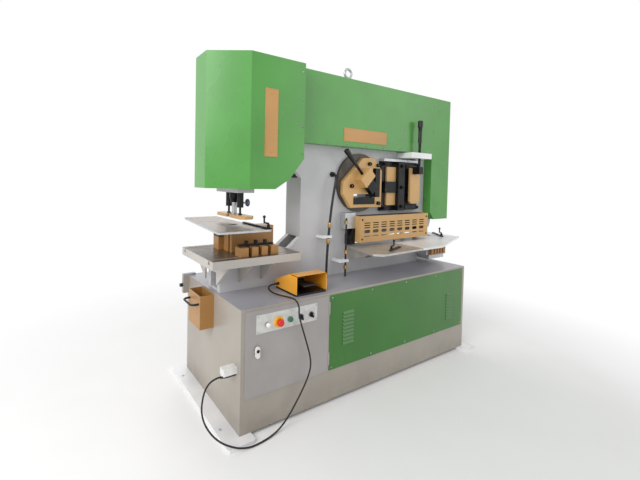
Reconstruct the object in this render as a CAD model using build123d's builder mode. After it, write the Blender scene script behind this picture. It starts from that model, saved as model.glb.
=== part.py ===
"""Hydraulic ironworker with a punch at one end and four shearing stations.

Units are millimetres.  The origin is at floor level, in the middle of the four
anchor holes of the two foot bars.  +X runs along the machine from the punch end
to the notching end, -Y is the operator's side and +Z is up.
"""
from build123d import *
import math
import os

os.makedirs("parts", exist_ok=True)

# Base cabinet and feet
CABINET_LENGTH = 2140.0
CABINET_DEPTH = 880.0
CABINET_TOP = 715.0
SHEET = 6.0
FOOT_THICKNESS = 20.0
FOOT_WIDTH = 165.0
FOOT_LENGTH = 1010.0
FOOT_OVERHANG = 95.0
ANCHOR_EDGE = 34.0
ANCHOR_SPACING_Y = 660.0
ANCHOR_DIAMETER = 22.0
DIVIDER_X = -449.0

# Doors and panels on the cabinet front
DOOR_BOTTOM = 215.0
DOOR_TOP = 700.0
DOOR_LEFT = -1045.0
DOOR_SHEET = 3.0
DOOR_SEAM = 10.0
DOOR_GAP = 0.3
DOOR_LIP = 15.0
OPENING_MARGIN = 22.0
LIP_CLEARANCE = 5.0
PANEL_RIGHT = 1040.0
PIN_DIAMETER = 5.0
KNUCKLE_DIAMETER = 9.0
KNUCKLE_LENGTH = 40.0
PIN_CLEARANCE = 0.3
LOUVRE_PITCH = 25.0
LOUVRE_WIDTH = 96.0
LOUVRE_DEPTH = 9.0
LOUVRE_COUNT = 9
SCREW_HEAD = 12.0

# Control plate and its switches
PLATE_LEFT = -978.0
PLATE_LENGTH = 428.0
PLATE_BOTTOM = 566.0
PLATE_HEIGHT = 106.0
PLATE_SHEET = 2.0
SWITCH_Z = 611.0
SWITCH_FIRST_X = -910.0
SWITCH_PITCH = 78.0
SWITCH_HOLE = 22.0
SWITCH_CLEARANCE = 0.4
STOP_TRAVEL = 5.0
START_TRAVEL = 3.0
LOCK_X = -974.0
LOCK_Z = 470.0

# Main frame, two thick plates side by side
FRAME_WIDTH = 184.0
FRAME_PLATE = 40.0
ARM_END = -1047.0
FRAME_RIGHT = 889.0
HEAD_RIGHT = 1180.0
HEAD_BOTTOM = 1104.0
FRAME_TOP = 2100.0
HEAD_LEFT = -800.0
THROAT_X = -441.0
THROAT_BOTTOM = 1024.0
THROAT_TOP = 1446.0
THROAT_CHAMFER = 64.0
ARM_TOP = 905.0
TABLE_END = -556.0
SLOPE_X = -531.0
SLOPE_Z = 952.0

# Shear beam that swings between the plates
BEAM_CLEARANCE = 2.0
PIVOT_X = -200.0
PIVOT_Z = 1050.0
PIVOT_PIN = 90.0
PIN_COVER = 10.0
PIVOT_BOSS = 220.0
BEAM_TOP = 1650.0
BEAM_BOTTOM = 1010.0
BEAM_RIGHT = 1130.0

# Stations on the frame
ANGLE_X = 112.0
ANGLE_Z = 1418.0
ANGLE_RING = 456.0
RING_THICKNESS = 26.0
HOUSING_THICKNESS = 34.0
LEG_X = 250.0
LEG_Z = 1300.0
LEG_GAP = 30.0
LEG_LENGTH = 235.0
BLADE_WIDTH = 50.0
BLADE_CORNER = 6.0
BLADE_PROUD = 4.0
SECTION_LEFT = 352.0
SECTION_RIGHT = 822.0
SECTION_BOTTOM = 1190.0
SECTION_TOP = 1600.0
SECTION_BASE = 28.0
SECTION_BAR_LEFT = 513.0
SECTION_BAR_RIGHT = 594.0
SECTION_HOLE_X = 628.0
INSERT_DIAMETER = 100.0
ROUND_HOLE = 56.0
SQUARE_HOLE = 54.0
ROUND_Z = 1475.0
SQUARE_Z = 1300.0
SLOT_LEFT = 30.0
SLOT_RIGHT = 862.0
SLOT_TOP = 1030.0
BLADE_TOP = 930.0
BLADE_HEIGHT = 40.0
BLADE_SEAT = 28.0
RAKE_LEFT = 943.0
RAKE_RIGHT = 992.0

# Flat-shear guard and tables
GUARD_FRONT = 205.0
GUARD_SHEET = 5.0
GUARD_LEFT = 45.0
GUARD_RIGHT = 872.0
GUARD_BOTTOM = 960.0
GUARD_TOP = 1162.0
GUARD_COLUMNS = 8
GUARD_PITCH = 95.0
TABLE_THICKNESS = 15.0
TABLE_FRONT = 480.0
TABLE_LEFT = 5.0

# Notching station
NOTCH_X = 1032.0
NOTCH_LENGTH = 95.0
NOTCH_WIDTH = 80.0
NOTCH_PUNCH_DROP = 36.0
NOTCH_CLEARANCE = 10.0
DIE_RIM = 36.0
NOTCH_BOX_LEFT = 852.0
NOTCH_BOX_RIGHT = 1108.0
NOTCH_BOX_FRONT = 215.0

# Hydraulic cylinders
SHEAR_CYLINDER_X = 1000.0
SHEAR_CYLINDER_DIAMETER = 98.0
SHEAR_CYLINDER_BOTTOM = 1760.0
SHEAR_ROD_DIAMETER = 60.0
ROD_GAP = 0.3
FIT_CLEARANCE = 0.3

# Punching station
PUNCH_X = -911.0
PUNCH_BLOCK = 230.0
PUNCH_BLOCK_BOTTOM = 1368.0
PUNCH_BLOCK_TOP = 1900.0
GUIDE_LENGTH = 320.0
GUIDE_WIDTH = 120.0
GUIDE_THICKNESS = 27.0
RAM_DIAMETER = 74.0
RAM_TOP = 1780.0
COUPLING_HEIGHT = 66.0
PUNCH_DIAMETER = 33.0
PUNCH_LENGTH = 79.0
POST_SPACING = 170.0
POST_DIAMETER = 42.0
POST_LENGTH = 96.0
STUD_DIAMETER = 14.0
STRIPPER_TOP = 1198.0
STRIPPER_THICKNESS = 20.0
STRIPPER_LENGTH = 400.0
STRIPPER_WIDTH = 92.0
KNOB_DIAMETER = 50.0

# Punch tables
LOWER_TABLE_TOP = 955.0
LOWER_TABLE_LEFT = -1168.0
LOWER_TABLE_HALF = 270.0
TEE_Y = 212.0
TEE_NECK = 14.0
TEE_HEAD = 26.0
RIB_XS = (-1072.0, -920.0, -758.0)
RIB_THICKNESS = 12.0
UPPER_TABLE_TOP = 1128.0
UPPER_TABLE_THICKNESS = 12.0
UPPER_TABLE_LEFT = -1160.0
UPPER_TABLE_RIGHT = -812.0
UPPER_TABLE_FRONT = -325.0
UPPER_TABLE_BACK = 540.0
UPPER_TABLE_TAPER = 90.0
DIE_DIAMETER = 64.0
DIE_BORE = 35.0
SLUG_HOLE = 50.0
GAUGE_X = -826.0
GAUGE_FRONT = -322.0
GAUGE_LENGTH = 348.0

# Sheet covers
COVER_HALF = 170.0
COVER_SHEET = 4.0
COVER_LEFT = -533.0
COVER_RIGHT = 950.0
COVER_BOTTOM = 1687.0
COVER_TOP = 2190.0
END_RIGHT = 1213.0
END_BOTTOM = 1097.0
END_NOTCH_X = 1008.0
END_NOTCH_Z = 1165.0
HOOD_HALF = 250.0
HOOD_CORNER_X = -931.0
HOOD_NOSE_X = -1152.0
HOOD_NOSE_HALF = 89.0
HOOD_BOTTOM = 1368.0

# Hold-down screws
GRIP_DIAMETER = 36.0
SCREW_DIAMETER = 22.0
SECTION_SCREW_X = 715.0
SECTION_SCREW_Y = -215.0
ANGLE_SCREW_Y = -190.0

# Stroke rods
ROD_DIAMETER = 14.0
STROKE_ROD_X = -70.0
STROKE_ROD_Y = -172.0
ROD_BOTTOM = 640.0
ROD_TOP = 1150.0
PIPE_DIAMETER = 18.0
PIPE_STANDOFF = 58.0
PIPE_SLACK = 3.0
PIPE_ARM_X = -222.5
COLLAR_DIAMETER = 28.0

# Foot switch, its cable and the socket on the end of the cabinet
PEDAL_LEFT = -680.0
PEDAL_FRONT = -400.0
PEDAL_WIDTH = 240.0
PEDAL_LENGTH = 240.0
PEDAL_HEIGHT = 128.0
CABLE_DIAMETER = 9.5

# Scrap bin
BIN_WIDTH = 206.0
BIN_REACH = 91.0
BIN_BOTTOM = 491.0
BIN_TOP = 700.0
BIN_FRONT = -60.0
BIN_SHEET = 3.0

# Values that follow from the sizes above
HALF_LENGTH = CABINET_LENGTH / 2
HALF_DEPTH = CABINET_DEPTH / 2
FRONT = -HALF_DEPTH
FRAME_FACE = FRAME_WIDTH / 2
FRAME_GAP = FRAME_WIDTH / 2 - FRAME_PLATE
PIPE_Y = -FRAME_FACE - PIPE_STANDOFF
BEAM_HALF = FRAME_GAP - BEAM_CLEARANCE
FOOT_OUTER = HALF_LENGTH + FOOT_OVERHANG
ANCHOR_X = FOOT_OUTER - ANCHOR_EDGE
DOOR_RIGHT = DIVIDER_X - DOOR_SEAM / 2
PANEL_LEFT = DIVIDER_X + DOOR_SEAM / 2
DOOR_BACK = FRONT - DOOR_GAP
DOOR_FRONT = DOOR_BACK - DOOR_SHEET
PLATE_FRONT = DOOR_FRONT - PLATE_SHEET
GUIDE_BOTTOM = PUNCH_BLOCK_BOTTOM - GUIDE_THICKNESS
RING_FRONT = -FRAME_FACE - RING_THICKNESS
HOUSING_FRONT = RING_FRONT - HOUSING_THICKNESS
SECTION_FACE = -FRAME_FACE - SECTION_BASE
UPPER_TABLE_BOTTOM = UPPER_TABLE_TOP - UPPER_TABLE_THICKNESS


def finish(builder, name):
    """Label a finished piece and write it as one STEP file."""
    builder.part.label = name
    export_step(builder.part, f"parts/{name}.step")


def block(x0, x1, y0, y1, z0, z1, mode=Mode.ADD):
    """Add or cut a straight block between two corners."""
    with Locations(((x0 + x1) / 2, (y0 + y1) / 2, (z0 + z1) / 2)):
        Box(x1 - x0, y1 - y0, z1 - z0, mode=mode)


def side_plate(points, y_front, thickness, mode=Mode.ADD):
    """Add or cut a plate whose outline is given in X and Z, from y_front backwards."""
    with BuildSketch(Plane.XZ.offset(-y_front)) as outline:
        with BuildLine():
            Polyline(*points, close=True)
        make_face()
    extrude(outline.sketch, amount=-thickness, mode=mode)


def upright(x, y, z0, z1, diameter, mode=Mode.ADD):
    """Add or cut a vertical cylinder."""
    with BuildSketch(Plane.XY.offset(z0)) as section:
        with Locations((x, y)):
            Circle(diameter / 2)
    extrude(section.sketch, amount=z1 - z0, mode=mode)


def switch_x(place):
    """Place of a switch along the control plate."""
    return SWITCH_FIRST_X + place * SWITCH_PITCH


def cross_bar(x, z, y0, y1, diameter, mode=Mode.ADD):
    """Add or cut a cylinder along Y."""
    with BuildSketch(Plane.XZ.offset(-y1)) as section:
        with Locations((x, z)):
            Circle(diameter / 2)
    extrude(section.sketch, amount=y1 - y0, mode=mode)


# Feet: two flat bars across the ends, drilled for anchors
with BuildPart() as foot_bars:
    for side in (-1, 1):
        with BuildSketch():
            with Locations((side * (FOOT_OUTER - FOOT_WIDTH / 2), 0)):
                Rectangle(FOOT_WIDTH, FOOT_LENGTH)
            with Locations((side * ANCHOR_X, 0)):
                with GridLocations(0, ANCHOR_SPACING_Y, 1, 2):
                    Circle(ANCHOR_DIAMETER / 2, mode=Mode.SUBTRACT)
        extrude(amount=FOOT_THICKNESS)
    chamfer(foot_bars.edges().filter_by(Axis.Z).filter_by(GeomType.LINE), FOOT_THICKNESS / 2)
finish(foot_bars, "foot_bars")

# Cabinet: welded sheet box with an electrical and a hydraulic compartment, and a knob bracket at its rear corner
SIDE_POST = OPENING_MARGIN
REAR_Y = 404.0
REAR_DEPTH = 30.0
REAR_LEFT = -HALF_LENGTH - 46.0
REAR_KNOB_Z = 648.0
REAR_KNOB = 26.0
REAR_KNOB_LENGTH = 20.0
REAR_BRACKET = (
    (-HALF_LENGTH, 590),
    (REAR_LEFT, 590),
    (REAR_LEFT, 729),
    (-1023, 729),
    (-1023, CABINET_TOP),
    (-HALF_LENGTH, CABINET_TOP),
)
with BuildPart() as base_cabinet:
    block(-HALF_LENGTH, HALF_LENGTH, -HALF_DEPTH, HALF_DEPTH, FOOT_THICKNESS, CABINET_TOP)
    inner_z0 = FOOT_THICKNESS + SHEET
    inner_z1 = CABINET_TOP - SHEET
    rooms = (
        (-HALF_LENGTH + SHEET, DIVIDER_X - SHEET / 2),
        (DIVIDER_X + SHEET / 2, HALF_LENGTH - SHEET),
    )
    for left, right in rooms:
        block(left, right, FRONT + SHEET, HALF_DEPTH - SHEET, inner_z0, inner_z1, Mode.SUBTRACT)
    windows = ((DOOR_LEFT, DOOR_RIGHT), (PANEL_LEFT, PANEL_RIGHT))
    for left, right in windows:
        block(left + SIDE_POST, right - SIDE_POST, FRONT - SHEET, FRONT + 2 * SHEET,
              DOOR_BOTTOM + SIDE_POST, DOOR_TOP - SIDE_POST, Mode.SUBTRACT)
    upright(STROKE_ROD_X, STROKE_ROD_Y, inner_z1, CABINET_TOP, 2 * ROD_DIAMETER, Mode.SUBTRACT)
    pin_y = DOOR_BACK - KNUCKLE_DIAMETER / 2
    for knuckle_z in (DOOR_BOTTOM + KNUCKLE_LENGTH, DOOR_TOP - 3 * KNUCKLE_LENGTH):
        upright(DIVIDER_X, pin_y, knuckle_z, knuckle_z + KNUCKLE_LENGTH, KNUCKLE_DIAMETER)
        block(DIVIDER_X - PIN_DIAMETER / 2, DIVIDER_X + PIN_DIAMETER / 2, pin_y, FRONT + SHEET / 2,
              knuckle_z, knuckle_z + KNUCKLE_LENGTH)
        upright(DIVIDER_X, pin_y, knuckle_z, knuckle_z + 2 * KNUCKLE_LENGTH, PIN_DIAMETER)
    side_plate(REAR_BRACKET, REAR_Y, REAR_DEPTH)
    with BuildSketch(Plane.YZ.offset(REAR_LEFT)) as knob:
        with Locations((REAR_Y + REAR_DEPTH / 2, REAR_KNOB_Z)):
            Circle(REAR_KNOB / 2)
    extrude(knob.sketch, amount=-REAR_KNOB_LENGTH)
finish(base_cabinet, "base_cabinet")

# Louvred panel over the hydraulic compartment
LOUVRE_GROUPS = ((-285.0, 360.0), (860.0, 300.0))
with BuildPart() as louvred_panel:
    block(PANEL_LEFT, PANEL_RIGHT, FRONT - DOOR_SHEET, FRONT, DOOR_BOTTOM, DOOR_TOP)
    for group_x, group_z in LOUVRE_GROUPS:
        for row in range(LOUVRE_COUNT):
            z = group_z + row * LOUVRE_PITCH
            with BuildSketch(Plane.YZ.offset(group_x - LOUVRE_WIDTH / 2)):
                with BuildLine():
                    Polyline((FRONT - DOOR_SHEET, z), (FRONT - DOOR_SHEET - LOUVRE_DEPTH, z),
                             (FRONT - DOOR_SHEET, z + LOUVRE_PITCH * 0.6), close=True)
                make_face()
            extrude(amount=LOUVRE_WIDTH)
            block(group_x - LOUVRE_WIDTH / 2 + DOOR_SHEET, group_x + LOUVRE_WIDTH / 2 - DOOR_SHEET,
                  FRONT - DOOR_SHEET - LOUVRE_DEPTH / 2, FRONT + 1, z - 1, z + LOUVRE_DEPTH / 2, Mode.SUBTRACT)
finish(louvred_panel, "louvred_panel")

# Control door, a shallow pan hung on two lift-off hinges
door_pin_y = DOOR_BACK - KNUCKLE_DIAMETER / 2
with BuildPart() as control_door:
    block(DOOR_LEFT, DOOR_RIGHT, DOOR_FRONT, DOOR_BACK, DOOR_BOTTOM, DOOR_TOP)
    lip_inset = OPENING_MARGIN + LIP_CLEARANCE
    block(DOOR_LEFT + lip_inset, DOOR_RIGHT - lip_inset, DOOR_BACK, DOOR_BACK + DOOR_LIP,
          DOOR_BOTTOM + lip_inset, DOOR_TOP - lip_inset)
    block(DOOR_LEFT + lip_inset + DOOR_SHEET, DOOR_RIGHT - lip_inset - DOOR_SHEET, DOOR_BACK,
          DOOR_BACK + DOOR_LIP, DOOR_BOTTOM + lip_inset + DOOR_SHEET, DOOR_TOP - lip_inset - DOOR_SHEET,
          Mode.SUBTRACT)
    for knuckle_z in (DOOR_BOTTOM + 2 * KNUCKLE_LENGTH + PIN_CLEARANCE,
                      DOOR_TOP - 2 * KNUCKLE_LENGTH + PIN_CLEARANCE):
        top = knuckle_z + KNUCKLE_LENGTH
        upright(DIVIDER_X, door_pin_y, knuckle_z, top, KNUCKLE_DIAMETER)
        block(DOOR_RIGHT - DOOR_SHEET, DIVIDER_X, DOOR_FRONT, DOOR_BACK - PIN_CLEARANCE, knuckle_z, top)
        upright(DIVIDER_X, door_pin_y, knuckle_z, top, PIN_DIAMETER + 2 * PIN_CLEARANCE, Mode.SUBTRACT)
    for place in range(1, 5):
        cross_bar(switch_x(place), SWITCH_Z, DOOR_FRONT - 1, DOOR_BACK + 1,
                  SWITCH_HOLE, Mode.SUBTRACT)
    cross_bar(LOCK_X, LOCK_Z, DOOR_FRONT - 1, DOOR_BACK + 1, SWITCH_HOLE, Mode.SUBTRACT)
finish(control_door, "control_door")

# Control plate with the pilot lamp and the collar of the stop button on it
COLLAR_OUT = 12.0
LAMP_OUT = 22.0
with BuildPart() as control_plate:
    block(PLATE_LEFT, PLATE_LEFT + PLATE_LENGTH, PLATE_FRONT, DOOR_FRONT, PLATE_BOTTOM, PLATE_BOTTOM + PLATE_HEIGHT)
    fillet(control_plate.edges().filter_by(Axis.Y), 4)
    cross_bar(SWITCH_FIRST_X, SWITCH_Z, PLATE_FRONT - LAMP_OUT / 2, PLATE_FRONT, 28)
    cross_bar(SWITCH_FIRST_X, SWITCH_Z, PLATE_FRONT - LAMP_OUT, PLATE_FRONT, 22)
    fillet(control_plate.edges().filter_by(GeomType.CIRCLE).sort_by(Axis.Y)[0], 6)
    cross_bar(switch_x(1), SWITCH_Z, PLATE_FRONT - COLLAR_OUT, PLATE_FRONT, 58)
    for place in range(1, 5):
        cross_bar(switch_x(place), SWITCH_Z, PLATE_FRONT - COLLAR_OUT, DOOR_FRONT, SWITCH_HOLE, Mode.SUBTRACT)
finish(control_plate, "control_plate")

# Switch bodies: each stem passes the plate and the door with clearance
STEM = SWITCH_HOLE - 2 * SWITCH_CLEARANCE
STEM_BACK = DOOR_BACK + 30.0

with BuildPart() as stop_button:
    head_back = PLATE_FRONT - COLLAR_OUT - STOP_TRAVEL - SWITCH_CLEARANCE
    cross_bar(switch_x(1), SWITCH_Z, head_back, STEM_BACK, STEM)
    cross_bar(switch_x(1), SWITCH_Z, head_back - 18, head_back, 42)
    fillet(stop_button.edges().filter_by(GeomType.CIRCLE).sort_by(Axis.Y)[0], 9)
finish(stop_button, "stop_button")

with BuildPart() as start_button:
    cross_bar(switch_x(2), SWITCH_Z, PLATE_FRONT - START_TRAVEL - 1, STEM_BACK, STEM)
    cross_bar(switch_x(2), SWITCH_Z, PLATE_FRONT - START_TRAVEL - 13, PLATE_FRONT - START_TRAVEL - 1, 30)
    fillet(start_button.edges().filter_by(GeomType.CIRCLE).sort_by(Axis.Y)[0], 3)
finish(start_button, "start_button")

for place, name in ((3, "selector_left"), (4, "selector_right")):
    with BuildPart() as selector:
        cross_bar(switch_x(place), SWITCH_Z, PLATE_FRONT - 0.5, STEM_BACK, STEM)
        cross_bar(switch_x(place), SWITCH_Z, PLATE_FRONT - 12, PLATE_FRONT - 0.5, 30)
        block(switch_x(place) - 5, switch_x(place) + 5, PLATE_FRONT - 26, PLATE_FRONT - 12, SWITCH_Z - 14, SWITCH_Z + 14)
        fillet(selector.edges().filter_by(Axis.Y), 2)
    finish(selector, name)

# Swing-handle lock with its latch behind the door
with BuildPart() as door_lock:
    cross_bar(LOCK_X, LOCK_Z, DOOR_FRONT - 8, DOOR_BACK + 16, STEM)
    with BuildSketch(Plane.XZ.offset(-(DOOR_FRONT - 8))):
        with Locations((LOCK_X, LOCK_Z)):
            SlotOverall(64, 26, rotation=90)
    extrude(amount=12)
    block(DOOR_LEFT + lip_inset + DOOR_SHEET + 2, LOCK_X + 10, DOOR_BACK + 10, DOOR_BACK + 14, LOCK_Z - 10, LOCK_Z + 10)
finish(door_lock, "door_lock")

# Electrical panel at the back of its compartment
BOARD_Y = HALF_DEPTH - SHEET - 30.0
with BuildPart() as electrical_panel:
    block(-HALF_LENGTH + 60, DIVIDER_X - 60, BOARD_Y, BOARD_Y + 4, 120, 640)
    for corner_x in (-HALF_LENGTH + 80, DIVIDER_X - 80):
        for corner_z in (140, 620):
            cross_bar(corner_x, corner_z, BOARD_Y + 4, HALF_DEPTH - SHEET, 16)
    for unit in range(4):
        block(-HALF_LENGTH + 120 + unit * 90, -HALF_LENGTH + 180 + unit * 90, BOARD_Y - 75, BOARD_Y, 440, 520)
    block(-HALF_LENGTH + 110, DIVIDER_X - 110, BOARD_Y - 35, BOARD_Y, 330, 360)
    block(-HALF_LENGTH + 120, -HALF_LENGTH + 260, BOARD_Y - 100, BOARD_Y, 160, 280)
finish(electrical_panel, "electrical_panel")

# Hydraulic power pack: oil tank with the motor and pump lying on it
TANK_TOP = 330.0
MOTOR_X = 420.0
MOTOR_DIAMETER = 230.0
MOTOR_Z = TANK_TOP + 20.0 + MOTOR_DIAMETER / 2
with BuildPart() as power_pack:
    block(PANEL_LEFT + 60, PANEL_RIGHT - 120, -HALF_DEPTH + 60, HALF_DEPTH - 60, FOOT_THICKNESS + SHEET, TANK_TOP)
    fillet(power_pack.edges().filter_by(Axis.Z), 20)
    block(MOTOR_X - 110, MOTOR_X + 130, -90, 90, TANK_TOP, TANK_TOP + 40)
    with BuildSketch(Plane.YZ.offset(MOTOR_X - 170)):
        with Locations((0, MOTOR_Z)):
            Circle(MOTOR_DIAMETER / 2)
    extrude(amount=350)
    with BuildSketch(Plane.YZ.offset(MOTOR_X - 240)):
        with Locations((0, MOTOR_Z)):
            Circle(75)
    extrude(amount=80)
    block(MOTOR_X - 330, MOTOR_X - 235, -50, 50, MOTOR_Z - 60, MOTOR_Z + 60)
    block(-330, -120, -80, 80, TANK_TOP, TANK_TOP + 150)
finish(power_pack, "power_pack")

# Sheet box and guide arms on the face of the frame
BOX_LEFT = -62.0
BOX_FRONT = -150.0
BOX_BOTTOM = 1066.0
BOX_TOP = 1186.0
BOX_SHEET = 4.0
CHEEK_LEFT = -10.0
CHEEK_GAP = 12.0
GUIDE_ARM_Z = 833.0
PIPE_ARM_Z = 1021.0
GUIDE_ARM = 18.0
GUIDE_ARM_REACH = 70.0
GUIDE_ARM_WIDTH = 36.0

# Main frame plates with the windows of the stations
FRAME_OUTLINE = (
    (ARM_END, CABINET_TOP),
    (FRAME_RIGHT, CABINET_TOP),
    (FRAME_RIGHT, HEAD_BOTTOM),
    (HEAD_RIGHT, HEAD_BOTTOM),
    (HEAD_RIGHT, FRAME_TOP),
    (HEAD_LEFT, FRAME_TOP),
    (HEAD_LEFT, THROAT_TOP + THROAT_CHAMFER),
    (THROAT_X - THROAT_CHAMFER, THROAT_TOP + THROAT_CHAMFER),
    (THROAT_X, THROAT_TOP),
    (THROAT_X, THROAT_BOTTOM),
    (SLOPE_X, SLOPE_Z),
    (TABLE_END, SLOPE_Z),
    (TABLE_END, ARM_TOP),
    (ARM_END, ARM_TOP),
)
ANGLE_SLOT = (
    (LEG_X, LEG_Z),
    (LEG_X, LEG_Z + LEG_LENGTH),
    (LEG_X - LEG_GAP, LEG_Z + LEG_LENGTH),
    (LEG_X - LEG_GAP, LEG_Z + LEG_GAP),
    (LEG_X - LEG_LENGTH, LEG_Z + LEG_GAP),
    (LEG_X - LEG_LENGTH, LEG_Z),
)


def angle_window(y_front, thickness):
    """Cut the angle-bar slot and the pockets of its two fixed blades through a plate."""
    side_plate(ANGLE_SLOT, y_front, thickness, Mode.SUBTRACT)
    back = y_front + thickness
    block(LEG_X - LEG_LENGTH, LEG_X - BLADE_CORNER, y_front, back, LEG_Z - BLADE_WIDTH, LEG_Z, Mode.SUBTRACT)
    block(LEG_X, LEG_X + BLADE_WIDTH, y_front, back, LEG_Z + BLADE_CORNER, LEG_Z + LEG_LENGTH, Mode.SUBTRACT)


def frame_plate(y_front):
    """One frame plate, cut out for the section and flat shears."""
    side_plate(FRAME_OUTLINE, y_front, FRAME_PLATE)
    for hole_z in (ROUND_Z, SQUARE_Z):
        cross_bar(SECTION_HOLE_X, hole_z, y_front, y_front + FRAME_PLATE, INSERT_DIAMETER + 2 * FIT_CLEARANCE,
                  Mode.SUBTRACT)
    block(SLOT_LEFT, SLOT_RIGHT, y_front, y_front + FRAME_PLATE, BLADE_TOP - BLADE_HEIGHT, SLOT_TOP, Mode.SUBTRACT)


def guide_arm(x, y, z, bore):
    """Add an arm that stands out from the frame and holds a vertical rod or pipe."""
    z0 = z - GUIDE_ARM / 2
    z1 = z + GUIDE_ARM / 2
    half = GUIDE_ARM_WIDTH / 2
    block(x - GUIDE_ARM_REACH, x + half, y - half, y + half, z0, z1)
    block(x - GUIDE_ARM_REACH, x - GUIDE_ARM_REACH + 30, y - half, -FRAME_FACE, z0, z1)
    upright(x, y, z0, z1, bore, Mode.SUBTRACT)


with BuildPart() as frame_front_plate:
    frame_plate(-FRAME_FACE)
    angle_window(-FRAME_FACE, FRAME_PLATE)
    cross_bar(PIVOT_X, PIVOT_Z, PIN_COVER - FRAME_FACE, -FRAME_GAP, PIVOT_PIN, Mode.SUBTRACT)
    block(BOX_LEFT, GUARD_LEFT, BOX_FRONT, -FRAME_FACE, BOX_BOTTOM, BOX_TOP)
    block(BOX_LEFT + BOX_SHEET, GUARD_LEFT - BOX_SHEET, BOX_FRONT + BOX_SHEET, -FRAME_FACE, BOX_BOTTOM,
          BOX_TOP - BOX_SHEET, Mode.SUBTRACT)
    guide_arm(STROKE_ROD_X, STROKE_ROD_Y, GUIDE_ARM_Z, ROD_DIAMETER + 2 * FIT_CLEARANCE)
    guide_arm(PIPE_ARM_X, PIPE_Y, PIPE_ARM_Z, PIPE_DIAMETER + PIPE_SLACK)
finish(frame_front_plate, "frame_front_plate")

with BuildPart() as frame_back_plate:
    frame_plate(FRAME_GAP)
    angle_window(FRAME_GAP, FRAME_PLATE)
    cross_bar(PIVOT_X, PIVOT_Z, FRAME_GAP, FRAME_FACE - PIN_COVER, PIVOT_PIN, Mode.SUBTRACT)
finish(frame_back_plate, "frame_back_plate")

# Spacers that tie the plates together, with the slug chute through the arm and the beam's pivot pin
with BuildPart() as frame_spacers:
    block(THROAT_X, THROAT_X + 60, -FRAME_GAP, FRAME_GAP, THROAT_BOTTOM, THROAT_TOP)
    block(ARM_END + 6, TABLE_END, -FRAME_GAP, FRAME_GAP, ARM_TOP - 80, ARM_TOP)
    block(ARM_END + 6, FRAME_RIGHT - 20, -FRAME_GAP, FRAME_GAP, CABINET_TOP, CABINET_TOP + 14)
    block(HEAD_LEFT, HEAD_RIGHT - 40, -FRAME_GAP, FRAME_GAP, FRAME_TOP - 60, FRAME_TOP)
    block(HEAD_LEFT, THROAT_X - THROAT_CHAMFER, -FRAME_GAP, FRAME_GAP, THROAT_TOP + THROAT_CHAMFER,
          THROAT_TOP + THROAT_CHAMFER + 60)
    upright(PUNCH_X, 0, CABINET_TOP, ARM_TOP, SLUG_HOLE, Mode.SUBTRACT)
    cross_bar(PIVOT_X, PIVOT_Z, PIN_COVER - FRAME_FACE, FRAME_FACE - PIN_COVER, PIVOT_PIN)
finish(frame_spacers, "frame_spacers")

# Shear beam: swings on the pin, carries the moving blades
BEAM_OUTLINE = (
    (PIVOT_X, PIVOT_Z - PIVOT_BOSS / 2),
    (SLOT_LEFT, BEAM_BOTTOM),
    (BEAM_RIGHT - 20, BEAM_BOTTOM),
    (BEAM_RIGHT, BEAM_BOTTOM + 60),
    (BEAM_RIGHT, BEAM_TOP),
    (PIVOT_X + 260, BEAM_TOP),
    (PIVOT_X + 140, BEAM_TOP - 90),
    (PIVOT_X - PIVOT_BOSS / 2, PIVOT_Z),
)


def section_holes(y0, y1):
    """Cut the round-bar and square-bar holes of the section shear."""
    cross_bar(SECTION_HOLE_X, ROUND_Z, y0, y1, ROUND_HOLE, Mode.SUBTRACT)
    block(SECTION_HOLE_X - SQUARE_HOLE / 2, SECTION_HOLE_X + SQUARE_HOLE / 2, y0, y1, SQUARE_Z - SQUARE_HOLE / 2,
          SQUARE_Z + SQUARE_HOLE / 2, Mode.SUBTRACT)


with BuildPart() as shear_beam:
    side_plate(BEAM_OUTLINE, -BEAM_HALF, 2 * BEAM_HALF)
    cross_bar(PIVOT_X, PIVOT_Z, -BEAM_HALF, BEAM_HALF, PIVOT_BOSS)
    cross_bar(PIVOT_X, PIVOT_Z, -FRAME_GAP, FRAME_GAP, PIVOT_PIN + 2 * FIT_CLEARANCE, Mode.SUBTRACT)
    side_plate(ANGLE_SLOT, -FRAME_GAP, 2 * FRAME_GAP, Mode.SUBTRACT)
    section_holes(-FRAME_GAP, FRAME_GAP)
finish(shear_beam, "shear_beam")

# Moving blades: raked flat-bar blade and the notching punch under the nose
with BuildPart() as moving_blades:
    rake = ((SLOT_LEFT + 4, RAKE_LEFT), (SLOT_RIGHT - 6, RAKE_RIGHT), (SLOT_RIGHT - 6, BEAM_BOTTOM),
            (SLOT_LEFT + 4, BEAM_BOTTOM))
    side_plate(rake, -BEAM_HALF, BLADE_SEAT)
    block(NOTCH_X - NOTCH_LENGTH / 2, NOTCH_X + NOTCH_LENGTH / 2, -NOTCH_WIDTH / 2, NOTCH_WIDTH / 2,
          BEAM_BOTTOM - NOTCH_PUNCH_DROP, BEAM_BOTTOM)
finish(moving_blades, "moving_blades")

# Shear cylinder between the plates and its piston rod on the beam
with BuildPart() as shear_cylinder:
    upright(SHEAR_CYLINDER_X, 0, SHEAR_CYLINDER_BOTTOM, FRAME_TOP - 60, SHEAR_CYLINDER_DIAMETER)
    block(SHEAR_CYLINDER_X - 80, SHEAR_CYLINDER_X + 80, -FRAME_GAP, FRAME_GAP, SHEAR_CYLINDER_BOTTOM,
          SHEAR_CYLINDER_BOTTOM + 60)
    upright(SHEAR_CYLINDER_X, 0, SHEAR_CYLINDER_BOTTOM, FRAME_TOP - 90, SHEAR_ROD_DIAMETER + 2 * FIT_CLEARANCE,
            Mode.SUBTRACT)
finish(shear_cylinder, "shear_cylinder")

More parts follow.
